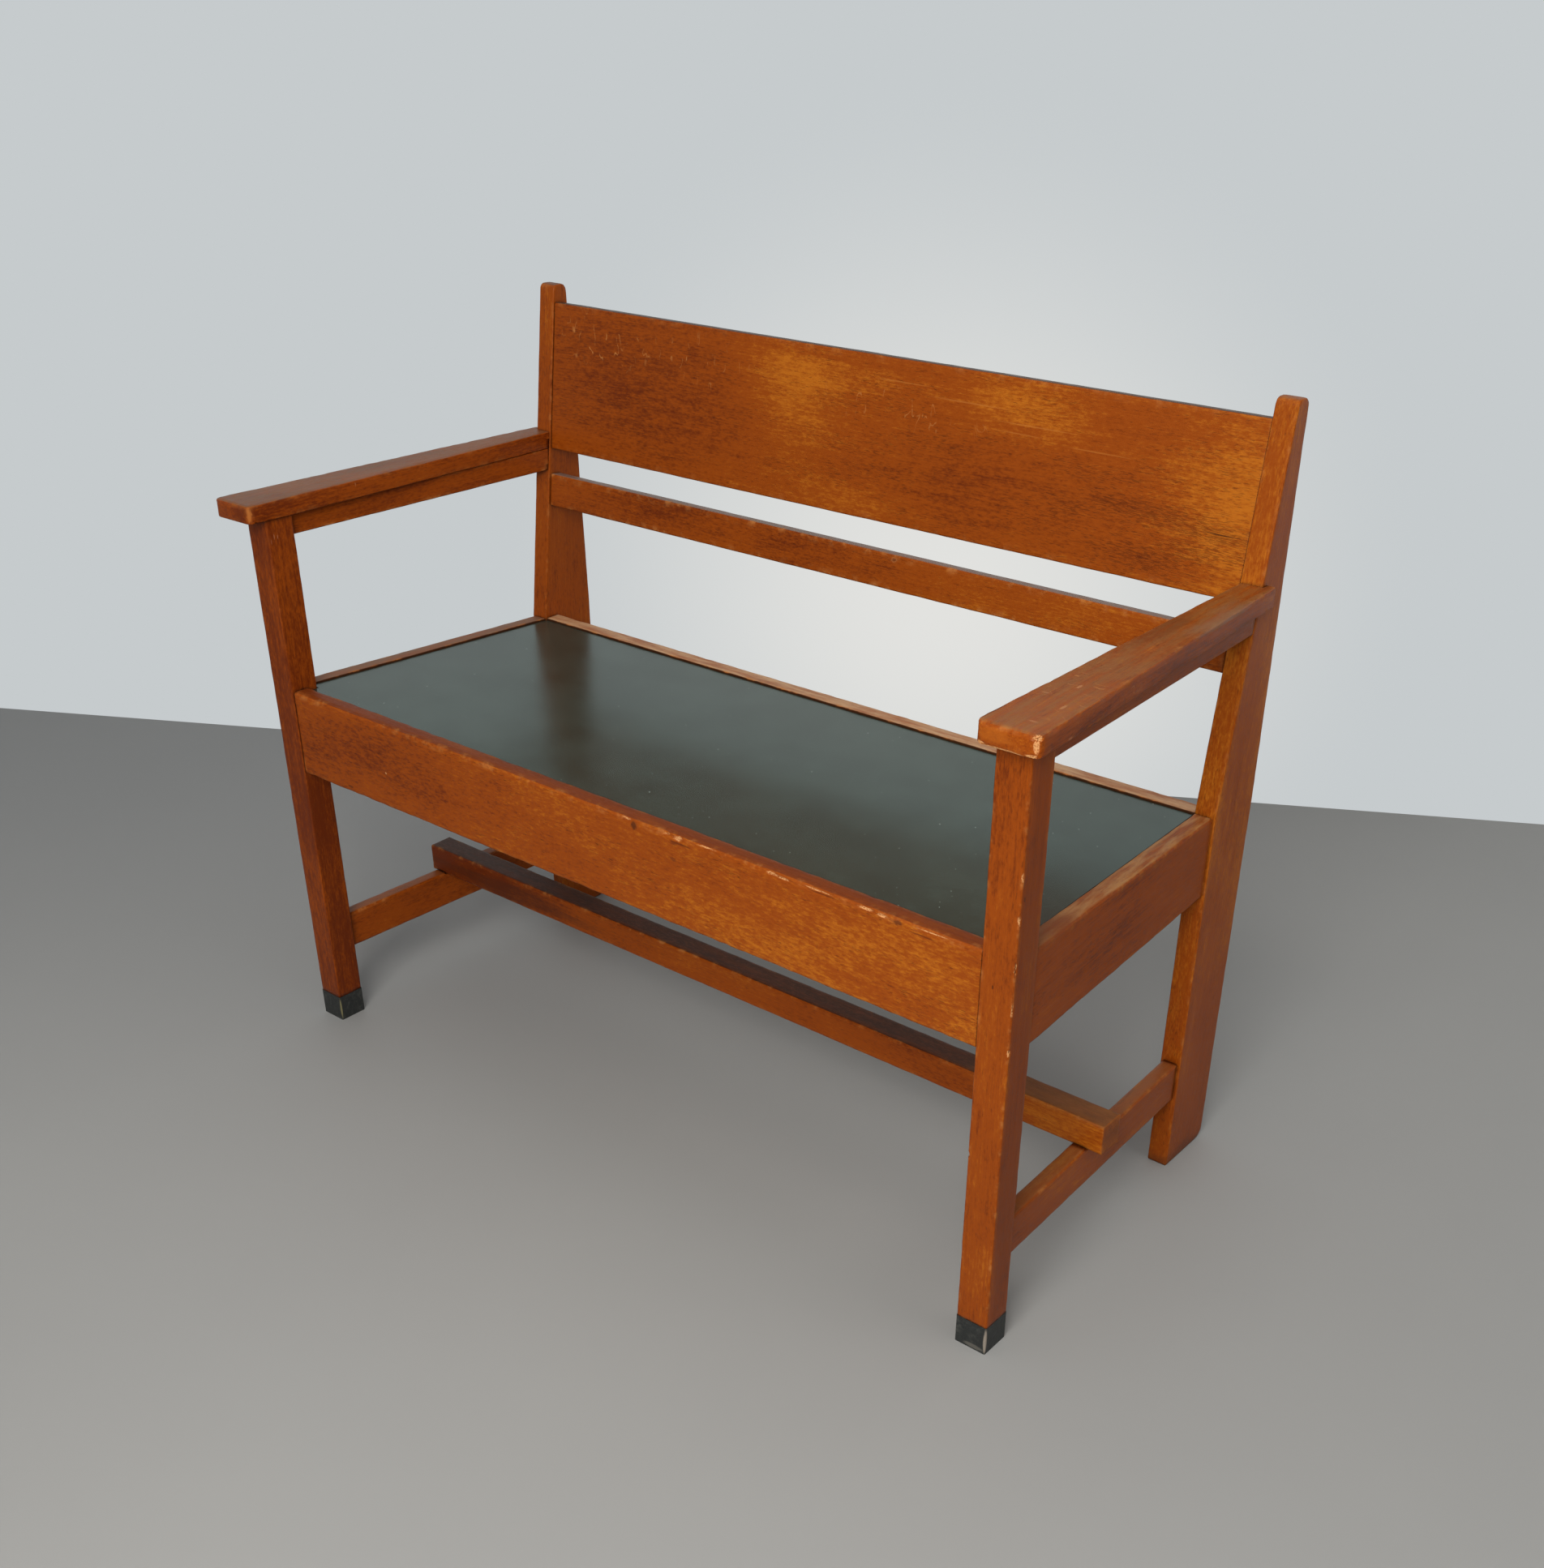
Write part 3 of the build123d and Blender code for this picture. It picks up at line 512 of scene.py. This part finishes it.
# Legs
legLook = dict(
    wood=((0.502, -0.2095, 0), (0, 0, 1), (0, -1, 0)),
    # the left leg's low tone is partly its darker wood and partly painted shade, as the light falls off to
    # the left
    left=dict(tone=0.2, rub=0.7 * mm, seed=3, wear=0.1, pores=0.25, marks=(
        ((-0.484, -0.2195, 0.6265), (3 * mm, 0.9 * mm, 4 * mm), (176, 112, 76), 0.6),
        ((-0.484, -0.2150, 0.6255), (3 * mm, 0.8 * mm, 3 * mm), (176, 112, 76), 0.6),
        ((-0.484, -0.2240, 0.6215), (3 * mm, 0.8 * mm, 4 * mm), (170, 104, 68), 0.45),
    )),
    right=dict(tone=0.49, rub=0.7 * mm, seed=4, pores=0.3, blotch=1.0, chips=(
        ((0.5195, -0.227, 0.4865), (2.4 * mm, 2.4 * mm, 6 * mm), 1.0 * mm),
        ((0.5195, -0.227, 0.440), (2 * mm, 2 * mm, 7 * mm), 0.9 * mm),
        ((0.5195, -0.227, 0.398), (1.6 * mm, 1.6 * mm, 9 * mm), 0.6 * mm),
        ((0.5195, -0.227, 0.354), (2.4 * mm, 2.4 * mm, 4 * mm), 1.0 * mm),
        ((0.5195, -0.227, 0.528), (1.8 * mm, 1.8 * mm, 5 * mm), 0.7 * mm),
        ((0.4845, -0.227, 0.229), (2 * mm, 2 * mm, 3 * mm), 0.8 * mm),
    ), marks=(
        ((0.498, -0.2275, 0.415), (1.2 * mm, 4 * mm, 3 * mm), (60, 26, 10), 0.8),
        ((0.520, -0.222, 0.506), (4 * mm, 1.6 * mm, 3 * mm), (50, 22, 10), 0.7),
        # this mark paints shade over the whole outer side of the right leg
        ((0.5205, -0.2095, 0.3), (3 * mm, 0.03, 0.5), (84, 34, 14), 0.35),
    )),
)
oakSides(("front_{}_leg", "frontLeg", legLook))

# Posts
postLook = dict(
    wood=((0.49, 0.2, 0), (0, 0.06, 1), (0, -1, 0)),
    left=dict(tone=0.48, rub=0.6 * mm, seed=5, run=(0, 0, 1), wear=0.6, top=((70, 60, 46), 0.6, 0.4)),
    right=dict(
        tone=0.72, rub=0.6 * mm, seed=6, run=(0, 0, 1), top=((110, 82, 56), 0.4, 0.4),
        streaks=0.45, wear=0.6,
        clouds=(((0.49, 0.2, 0.06), (0.08, 0.12, 0.34), -0.34),),
        flecks=(((0.49, 0.2, 0.2), (0.06, 0.1, 0.5), 0.05),),
        marks=(((0.49, 0.2, 0.0), (0.03, 0.08, 0.022), (84, 44, 24), 0.5),),
    ),
)
oakSides(("rear_{}_post", "rearPost", postLook))

# Front and rear seat rails
# On the front rail the dark top tint is painted shade on the top, and the two clouds paint shade on the
# left end and light on the right end
frontRailLook = dict(
    wood=((0, -0.22, 0.4), (1, 0, 0), (0, -1, 0)), tone=0.56, rub=1.4 * mm, seed=7, reach=5 * mm,
    top=((104, 44, 14), 0.9, 0.4), streaks=0.25, mottle=1.25, pores=0.45, rough=0.52, wear=0.8,
    seam=(0, 1, 0),
    clouds=(
        ((-0.40, -0.226, 0.40), (0.34, 0.08, 0.14), -0.22), ((0.36, -0.226, 0.40), (0.3, 0.08, 0.10), 0.16),
    ),
    chips=(
        ((-0.325, -0.2255, 0.4450), (4 * mm, 2 * mm, 2 * mm), 0.8 * mm),
        ((0.052, -0.2255, 0.4450), (9 * mm, 2.4 * mm, 2 * mm), 0.9 * mm),
        ((0.107, -0.2255, 0.4448), (6 * mm, 2.4 * mm, 2.6 * mm), 1.0 * mm),
        ((0.122, -0.2255, 0.4440), (8 * mm, 2.4 * mm, 3.6 * mm), 1.2 * mm),
        ((0.160, -0.2255, 0.4450), (14 * mm, 2 * mm, 1.3 * mm), 0.5 * mm),
        ((0.244, -0.2255, 0.4440), (8 * mm, 2.4 * mm, 2.4 * mm), 1.0 * mm),
        ((0.258, -0.2255, 0.4430), (9 * mm, 2.4 * mm, 1.6 * mm), 0.8 * mm),
        ((0.300, -0.2255, 0.4440), (20 * mm, 2 * mm, 0.9 * mm), 0.4 * mm),
        ((0.356, -0.2255, 0.4440), (11 * mm, 2.4 * mm, 1.9 * mm), 1.0 * mm),
        ((0.374, -0.2255, 0.4430), (7 * mm, 2.4 * mm, 1.9 * mm), 0.9 * mm),
        ((0.430, -0.2255, 0.4440), (22 * mm, 2 * mm, 0.8 * mm), 0.4 * mm),
    ),
    marks=(
        ((0.128, -0.226, 0.4385), (16 * mm, 3 * mm, 1.6 * mm), (84, 34, 12), 0.7),
        ((0.306, -0.226, 0.4420), (24 * mm, 3 * mm, 0.9 * mm), (84, 34, 12), 0.8),
        ((0.420, -0.226, 0.4380), (18 * mm, 3 * mm, 1.2 * mm), (84, 34, 12), 0.6),
        ((0.064, -0.226, 0.440), (5 * mm, 4 * mm, 6 * mm), (78, 36, 14), 0.85),
        ((0.118, -0.226, 0.437), (6 * mm, 4 * mm, 3 * mm), (96, 40, 14), 0.6),
        ((0.392, -0.226, 0.442), (6 * mm, 4 * mm, 3.5 * mm), (92, 40, 16), 0.8),
        ((-0.398, -0.226, 0.352), (6 * mm, 3 * mm, 2 * mm), (56, 24, 10), 0.6),
        ((0.117, -0.226, 0.419), (6 * mm, 3 * mm, 3 * mm), (96, 42, 16), 0.6),
        ((-0.328, -0.226, 0.388), (1.6 * mm, 2 * mm, 1.6 * mm), (200, 150, 100), 0.8),
    ),
)
rearRailLook = dict(
    wood=((0, 0.18, 0.4), (1, 0, 0), (0, -1, 0)), tone=0.5, rub=0.9 * mm, seed=8,
    top=((196, 154, 114), 0.95, 0.7), rough=0.5, seam=(0, -1, 0),
)
oakPiece("front_seat_rail", "frontSeatRail", frontRailLook)
oakPiece("rear_seat_rail", "rearSeatRail", rearRailLook)

# Side seat rails
sideRailLook = dict(
    wood=((0.5, 0, 0.4), (-0.058, 1, 0), (1, 0, 0)),
    left=dict(tone=0.4, rub=0.9 * mm, seed=9, top=((120, 96, 74), 0.8, 0.6), rough=0.5, seam=(1, 0, 0)),
    right=dict(
        tone=0.4, rub=0.9 * mm, seed=10, top=((172, 124, 76), 0.9, 0.85), rough=0.5, blotch=0.7,
        seam=(-1, 0, 0), marks=(((0.507, -0.175, 0.4445), (0.03, 0.12, 8 * mm), (112, 56, 28), 0.65),),
    ),
)
oakSides(("{}_seat_rail", "sideSeatRail", sideRailLook))

# Back
rake = math.radians(7.5)
leaning = (0, -math.cos(rake), math.sin(rake))
boardLook = dict(
    wood=((0, 0.21, 0.73), (1, 0, 0), leaning), tone=0.5, rub=0.5 * mm, seed=11, step=14 * mm,
    top=((52, 48, 42), 0.9, 0.1), streaks=0.45, blotch=0.35, wear=0.5,
    clouds=(
        ((-0.34, 0.214, 0.745), (0.34, 0.12, 0.16), -0.26), ((-0.09, 0.212, 0.75), (0.12, 0.09, 0.10), 0.3),
        ((-0.05, 0.219, 0.787), (0.2, 0.08, 0.03), 0.2), ((0.17, 0.209, 0.70), (0.26, 0.09, 0.10), -0.2),
        ((0.21, 0.219, 0.785), (0.13, 0.08, 0.05), 0.3), ((0.46, 0.21, 0.73), (0.13, 0.09, 0.14), 0.36),
        ((0.385, 0.204, 0.668), (0.08, 0.05, 0.03), -0.2), ((0.0, 0.21, 0.66), (0.16, 0.06, 0.04), 0.15),
    ),
    marks=(
        ((0.446, 0.208, 0.7045), (22 * mm, 6 * mm, 0.9 * mm), (60, 26, 10), 0.85),
        ((0.055, 0.220, 0.792), (50 * mm, 6 * mm, 1.0 * mm), (184, 112, 46), 0.4),
        ((0.140, 0.219, 0.783), (60 * mm, 6 * mm, 1.1 * mm), (184, 112, 46), 0.4),
        ((0.225, 0.217, 0.771), (60 * mm, 6 * mm, 0.9 * mm), (184, 112, 46), 0.4),
        ((0.205, 0.216, 0.762), (40 * mm, 6 * mm, 0.8 * mm), (184, 112, 46), 0.35),
        ((0.300, 0.216, 0.758), (50 * mm, 6 * mm, 1.0 * mm), (184, 112, 46), 0.35),
    ),
    scratches=(
        ((-0.39, 0.217, 0.780), (0.10, 0.06, 0.045), 0.75),
        ((-0.24, 0.216, 0.775), (0.12, 0.06, 0.04), 0.5),
        ((0.06, 0.216, 0.765), (0.16, 0.06, 0.03), 0.45),
    ),
    flecks=(((0.40, 0.209, 0.70), (0.24, 0.1, 0.12), 0.16), ((0.02, 0.209, 0.73), (0.3, 0.1, 0.10), 0.06)),
)
backRailLook = dict(
    wood=((0, 0.2, 0.6), (1, 0, 0), leaning), tone=0.46, rub=0.5 * mm, seed=12, step=14 * mm,
    top=((118, 114, 106), 0.75, 0.4),
    clouds=(
        ((-0.30, 0.195, 0.60), (0.16, 0.05, 0.05), -0.2), ((0.26, 0.194, 0.593), (0.2, 0.05, 0.05), 0.22),
    ),
    marks=(
        ((0.067, 0.1966, 0.61), (5.5 * mm, 5 * mm, 4 * mm), (170, 104, 56), 0.6),
        ((0.067, 0.1966, 0.61), (3.5 * mm, 4 * mm, 2.4 * mm), (100, 44, 16), 0.8),
    ),
)
oakPiece("back_board", "backBoard", boardLook)
oakPiece("lower_back_rail", "lowerBackRail", backRailLook)

# Arms and the rails under them
armLook = dict(
    wood=((0.5, 0, 0.66), (-0.035, 1, 0), (0, 0, 1)),
    left=dict(
        tone=0.34, rub=1.0 * mm, seed=13, step=7 * mm, reach=3.5 * mm, top=((118, 90, 60), 0.6, 0.6),
        wear=0.4, dirtAndShade=0.5, clouds=(((-0.51, -0.24, 0.66), (0.08, 0.10, 0.04), -0.25),),
        marks=(
            ((-0.4800, -0.2500, 0.6570), (4 * mm, 4 * mm, 11 * mm), (178, 104, 44), 0.7),
            ((-0.4765, -0.105, 0.6625), (3 * mm, 1.0 * mm, 4 * mm), (170, 110, 70), 0.6),
        ),
        rounds=(
            ((-0.4765, -0.2525, 0.656), (12 * mm, 12 * mm, 60 * mm), 1.2 * mm, (-1, 1, 0)),
            ((-0.508, -0.2525, 0.6665), (44 * mm, 7 * mm, 7 * mm), 1.5 * mm, (0, 1, -1)),
        ),
    ),
    right=dict(
        tone=0.46, rub=1.0 * mm, seed=14, step=7 * mm, reach=3.5 * mm, top=((130, 90, 50), 0.65, 0.75),
        streaks=0.8, wear=0.7, dirtAndShade=0.5, scratches=(((0.51, -0.12, 0.6665), (0.05, 0.14, 0.03), 0.6),),
        # these clouds paint shade on the outer face of the right arm, darker than its top
        clouds=(
            ((0.535, -0.170, 0.651), (0.012, 0.13, 0.017), -0.35),
            ((0.524, -0.02, 0.651), (0.012, 0.13, 0.017), -0.35),
            ((0.514, 0.120, 0.651), (0.012, 0.13, 0.017), -0.3),
        ),
        chips=(
            ((0.5375, -0.2505, 0.6640), (6 * mm, 5 * mm, 3 * mm), 1.2 * mm),
            ((0.5365, -0.2510, 0.6570), (3 * mm, 3 * mm, 7 * mm), 0.8 * mm),
            ((0.5340, -0.2520, 0.6480), (8 * mm, 3 * mm, 2.4 * mm), 0.9 * mm),
            ((0.5050, -0.2520, 0.6470), (24 * mm, 2 * mm, 1.3 * mm), 0.4 * mm),
            ((0.4830, -0.2515, 0.6480), (6 * mm, 3 * mm, 2 * mm), 0.7 * mm),
            ((0.5375, -0.140, 0.655), (2 * mm, 3 * mm, 2.4 * mm), 0.4 * mm),
        ),
        marks=(
            ((0.4980, -0.2520, 0.6570), (26 * mm, 3 * mm, 8 * mm), (170, 90, 24), 0.5),
            ((0.5050, -0.2520, 0.6466), (30 * mm, 3 * mm, 1.3 * mm), (212, 150, 92), 0.75),
            # the grey mark at the back of the outer side of the top is a painted sheen
            ((0.5200, 0.1000, 0.6665), (26 * mm, 90 * mm, 5 * mm), (128, 104, 82), 0.5),
            ((0.4880, 0.0300, 0.6665), (16 * mm, 90 * mm, 5 * mm), (88, 42, 18), 0.4),
            ((0.5051, -0.1384, 0.6665), (2 * mm, 6 * mm, 3 * mm), (196, 142, 96), 0.4),
            ((0.4909, -0.1671, 0.6665), (5 * mm, 2 * mm, 3 * mm), (190, 134, 90), 0.3),
            ((0.5196, -0.1867, 0.6665), (2 * mm, 7 * mm, 3 * mm), (196, 142, 96), 0.4),
            ((0.5169, -0.2273, 0.6665), (6 * mm, 2 * mm, 3 * mm), (190, 134, 90), 0.35),
            ((0.5369, -0.2005, 0.6486), (3 * mm, 5 * mm, 1.6 * mm), (190, 120, 80), 0.5),
        ),
        rounds=(
            ((0.4765, -0.2525, 0.656), (12 * mm, 12 * mm, 60 * mm), 0.8 * mm, (1, 1, 0)),
            ((0.4900, -0.2525, 0.6665), (30 * mm, 9 * mm, 8 * mm), 2.0 * mm, (0, 1, -1)),
            ((0.5200, -0.2525, 0.6665), (26 * mm, 7 * mm, 7 * mm), 1.3 * mm, (0, 1, -1)),
            ((0.5392, -0.225, 0.6665), (5 * mm, 14 * mm, 5 * mm), 1.6 * mm, (-1, 0, -1)),
            ((0.5375, -0.190, 0.6665), (5 * mm, 9 * mm, 5 * mm), 1.3 * mm, (-1, 0, -1)),
            ((0.5340, -0.135, 0.6665), (5 * mm, 12 * mm, 5 * mm), 1.4 * mm, (-1, 0, -1)),
        ),
    ),
)
armRailLook = dict(
    wood=((0.5, 0, 0.63), (-0.041, 1, 0), (1, 0, 0)),
    left=dict(tone=0.4, rub=0.4 * mm, seed=23, dirtAndShade=0.4),
    right=dict(tone=0.4, rub=0.4 * mm, seed=24, dirtAndShade=0.4),
)
oakSides(("{}_arm", "arm", armLook), ("{}_arm_rail", "armRail", armRailLook))

# Stretchers
sideStretcherLook = dict(
    wood=((0.5, 0, 0.11), (-0.034, 1, 0), (1, 0, 0)),
    left=dict(tone=0.4, rub=0.6 * mm, seed=15, dirtAndShade=0.45, top=((120, 86, 56), 0.4, 0.6)),
    right=dict(tone=0.48, rub=0.6 * mm, seed=16, dirtAndShade=0.45, top=((130, 92, 58), 0.5, 0.6)),
)
# The long stretcher's dark top tint is painted shade under the seat and a painted reflection of its
# underside; its clouds and first mark paint shade to the left and light to the right
longStretcherLook = dict(
    wood=((0, -0.015, 0.15), (1, 0, 0), (0, -1, 0)), tone=0.42, rub=0.8 * mm, seed=17,
    top=((44, 36, 32), 0.85, 0.3), rough=0.5,
    clouds=(((-0.45, -0.03, 0.15), (0.4, 0.1, 0.1), -0.4), ((0.48, -0.03, 0.15), (0.18, 0.1, 0.1), 0.35)),
    marks=(
        ((-0.36, -0.034, 0.150), (0.2, 0.03, 0.016), (58, 32, 22), 0.45),
        ((0.48, -0.015, 0.1750), (0.17, 0.07, 9 * mm), (138, 84, 42), 0.8),
        ((0.5215, -0.015, 0.150), (2.5 * mm, 0.03, 0.03), (104, 52, 26), 0.75),
    ),
)
oakSides(("{}_side_stretcher", "sideStretcher", sideStretcherLook))
oakPiece("long_stretcher", "longStretcher", longStretcherLook)
print("oak pieces worn")

# Unstained pieces under the seat
bareLook = dict(
    light=linear(196, 158, 112), dark=linear(150, 112, 74), streaks=(12, 160), rough=(0.75, 0.6),
    pieces=(
        "seat_panel", "front_ledger", "rear_ledger", "left_ledger", "right_ledger", "arm_dowels",
        "stretcher_dowels",
    ),
)
made, tree, surface = newMaterial("bare wood")
streak = grainy(tree, objectPlace(tree), bareLook["streaks"], 4.0, 0.6)
colour = blendColour(tree, rangeOf(tree, streak, 0.3, 0.7), bareLook["dark"], bareLook["light"])
joinSurface(tree, surface, colour, rangeOf(tree, streak, 0.3, 0.7, *bareLook["rough"]), streak)
for node in bareLook["pieces"]:
    dressNode(node, made)

# Linoleum seat
linoLook = dict(
    base=linear(43, 55, 46), light=linear(50, 63, 54), speck=linear(170, 178, 168),
    grimeAndShade=linear(40, 27, 16), mottle=14, specks=420, grit=900, wipes=(5, 14), rough=(0.2, 0.25),
    edge=(1.12, 0.8), edgeWave=70, edgeReach=10 * mm, edgeShare=0.8, bumpStrength=0.05,
    shineTint=(0.8, 1, 0.88, 1),
)
made, tree, surface = newMaterial("grey green linoleum")
place = objectPlace(tree)
mottle = cloudy(tree, place, linoLook["mottle"], 6.0, 0.6)
colour = blendColour(tree, rangeOf(tree, mottle, 0.35, 0.65), linoLook["base"], linoLook["light"])
speck = rangeOf(tree, cloudy(tree, place, linoLook["specks"], 1.0), 0.79, 0.82)
colour = blendColour(tree, speck, colour, linoLook["speck"])
# grime and painted shade at the edges of the linoleum: darker where ambient occlusion finds the rails close
# by
uneven = times(tree, cloudy(tree, place, linoLook["edgeWave"], 4.0, 0.6), 0.5)
edge = calc(tree, "ADD", openness(tree, linoLook["edgeReach"], 6), uneven)
edge = times(tree, rangeOf(tree, edge, *linoLook["edge"]), linoLook["edgeShare"])
colour = blendColour(tree, edge, colour, linoLook["grimeAndShade"])
wipe = grainy(tree, place, linoLook["wipes"], 4.0, 0.6)
rough = rangeOf(tree, wipe, 0.3, 0.7, *linoLook["rough"])
grit = cloudy(tree, place, linoLook["grit"], 3.0, 0.6)
joinSurface(tree, surface, colour, rough, grit, linoLook["bumpStrength"])
surface.inputs["Specular Tint"].default_value = linoLook["shineTint"]
dressNode("seat_linoleum", made)

# Shoes
shoeLook = dict(base=linear(30, 32, 30), scuffed=linear(62, 62, 56), scuffs=160, rough=(0.45, 0.7), worn=(
    ((-0.4848, -0.2267, 0.017), (1.5 * mm, 1.5 * mm, 18 * mm), linear(112, 104, 70)),
    ((0.5192, -0.2267, 0.016), (2.4 * mm, 2.4 * mm, 18 * mm), linear(140, 128, 114)),
    ((0.506, -0.2275, 0.004), (14 * mm, 2 * mm, 3 * mm), linear(84, 80, 72)),
))
made, tree, surface = newMaterial("black shoe")
scuff = cloudy(tree, objectPlace(tree), shoeLook["scuffs"], 5.0, 0.7)
colour = blendColour(tree, rangeOf(tree, scuff, 0.45, 0.75), shoeLook["base"], shoeLook["scuffed"])
for centre, radii, tint in shoeLook["worn"]:
    colour = blendColour(tree, spotMask(tree, centre, radii, "shoe"), colour, tint)
joinSurface(tree, surface, colour, rangeOf(tree, scuff, 0.3, 0.7, *shoeLook["rough"]), scuff)
dressNode("front_left_shoe", made)
dressNode("front_right_shoe", made)

# Screws
screwLook = dict(dull=linear(120, 116, 108), bright=linear(176, 172, 164), tarnish=500, rough=(0.3, 0.5))
made, tree, surface = newMaterial("steel screw")
tarnish = cloudy(tree, objectPlace(tree), screwLook["tarnish"], 4.0, 0.6)
colour = blendColour(tree, tarnish, screwLook["dull"], screwLook["bright"])
joinSurface(tree, surface, colour, rangeOf(tree, tarnish, 0.3, 0.7, *screwLook["rough"]))
surface.inputs["Metallic"].default_value = 1.0
dressNode("ledger_screws", made)
print("seat, shoes and screws finished")


def flatSheet(name, corners, material):
    mesh = bpy.data.meshes.new(name)
    mesh.from_pydata(corners, [], [(0, 1, 2, 3)])
    mesh.materials.append(material)
    made = bpy.data.objects.new(name, mesh)
    scene.collection.objects.link(made)
    return made


# Floor, with painted shade: a little darker under the wall on the left
floorLook = dict(
    dull=linear(151, 149, 145), light=linear(160, 158, 153), clouds=1.2, rough=0.6, half=9.0,
    dim=linear(126, 126, 125), dimShare=0.6, fromWall=(0.4848, -0.8746, 0), wallRange=(0.6, -1.0),
    fromLeft=(1, 0, 0), leftRange=(0.3, -0.8),
)
made, tree, surface = newMaterial("grey floor")
place = objectPlace(tree)
worn = cloudy(tree, place, floorLook["clouds"], 4.0, 0.55)
colour = blendColour(tree, worn, floorLook["dull"], floorLook["light"])
near = rangeOf(tree, alongAxis(tree, place, floorLook["fromWall"]), *floorLook["wallRange"])
left = rangeOf(tree, alongAxis(tree, place, floorLook["fromLeft"]), *floorLook["leftRange"])
colour = blendColour(tree, times(tree, near, left, floorLook["dimShare"]), colour, floorLook["dim"])
tree.links.new(colour, surface.inputs["Base Color"])
surface.inputs["Roughness"].default_value = floorLook["rough"]
# open from below, so that the underside can be looked at too
below = times(tree, surfaceFacts(tree)["Backfacing"], rayFacts(tree)["Is Camera Ray"])
openSurface(tree, below, surface.outputs[0])
half = floorLook["half"]
floor = flatSheet("floor", [(-half, -half, 0), (half, -half, 0), (half, half, 0), (-half, half, 0)], made)

# The wall shows from the bench's side only, so that the back can be looked at too
wallLook = dict(
    foot=(0.0, 1.0897), along=(0.8746, 0.4848), half=9.0, height=6.0, colour=linear(205, 209, 212),
    seen=linear(198, 203, 205), bright=linear(226, 226, 223), glow=(-0.35, 0.896, 0.3), glowReach=0.75,
)
made, tree, surface = newMaterial("pale wall")
tree.nodes.remove(surface)
# the camera and glossy rays see the wall glowing, with a painted pool of light behind the bench; other rays
# meet its diffuse paint
glow = vectorCalc(tree, "DISTANCE", surfaceFacts(tree)["Position"], wallLook["glow"], "Value")
glow = rangeOf(tree, glow, wallLook["glowReach"], 0.0)
tone = blendColour(tree, glow, wallLook["seen"], wallLook["bright"])
seen = addNode(tree, "ShaderNodeEmission", {"Color": tone, "Strength": 1.0}).outputs[0]
paint = addNode(tree, "ShaderNodeBsdfDiffuse", {"Color": wallLook["colour"]}).outputs[0]
rays = rayFacts(tree)
looking = calc(tree, "MAXIMUM", rays["Is Camera Ray"], rays["Is Glossy Ray"])
openSurface(tree, surfaceFacts(tree)["Backfacing"], mixShaders(tree, looking, paint, seen))
along = Vector((*wallLook["along"], 0))
foot = Vector((*wallLook["foot"], 0))
low = foot - along * wallLook["half"]
high = foot + along * wallLook["half"]
up = Vector((0, 0, wallLook["height"]))
wall = flatSheet("wall", [low, high, high + up, low + up], made)

# Lamps
lampLook = dict(
    keyLamp=dict(place=(1.0, -2.1, 1.8), aim=(0.3, 0, 0.4), size=1.3, power=62),
    fillLamp=dict(place=(2.4, 0.2, 2.2), aim=(0, 0, 0.4), size=1.4, power=7),
    topLamp=dict(place=(0.2, -0.6, 3.0), aim=(0, 0.2, 0), size=2.0, power=10),
)
for name, look in lampLook.items():
    data = bpy.data.lights.new(name, "AREA")
    data.shape = "SQUARE"
    data.size = look["size"]
    data.energy = look["power"]
    lamp = bpy.data.objects.new(name, data)
    lamp.location = look["place"]
    lamp.rotation_euler = (Vector(look["aim"]) - Vector(look["place"])).to_track_quat("-Z", "Y").to_euler()
    scene.collection.objects.link(lamp)

# Light of the room
roomLook = dict(colour=linear(232, 236, 240), strength=0.38)
world = bpy.data.worlds.new("pale room")
world.use_nodes = True
background = world.node_tree.nodes["Background"]
background.inputs["Color"].default_value = roomLook["colour"]
background.inputs["Strength"].default_value = roomLook["strength"]
scene.world = world

# Camera
cameraLook = dict(
    place=(1.21150, -1.37579, 1.19585), tilt=57.5966, turn=39.7224, lens=40.5965, sensor=36,
    shiftX=-0.00594, shiftY=0.17218,
)
data = bpy.data.cameras.new("pictureCamera")
data.sensor_width = cameraLook["sensor"]
data.lens = cameraLook["lens"]
data.shift_x = cameraLook["shiftX"]
data.shift_y = cameraLook["shiftY"]
camera = bpy.data.objects.new("pictureCamera", data)
camera.location = cameraLook["place"]
camera.rotation_euler = (math.radians(cameraLook["tilt"]), 0, math.radians(cameraLook["turn"]))
scene.collection.objects.link(camera)
scene.camera = camera
scene.view_settings.view_transform = "Standard"
print("floor, wall, lamps and camera placed")
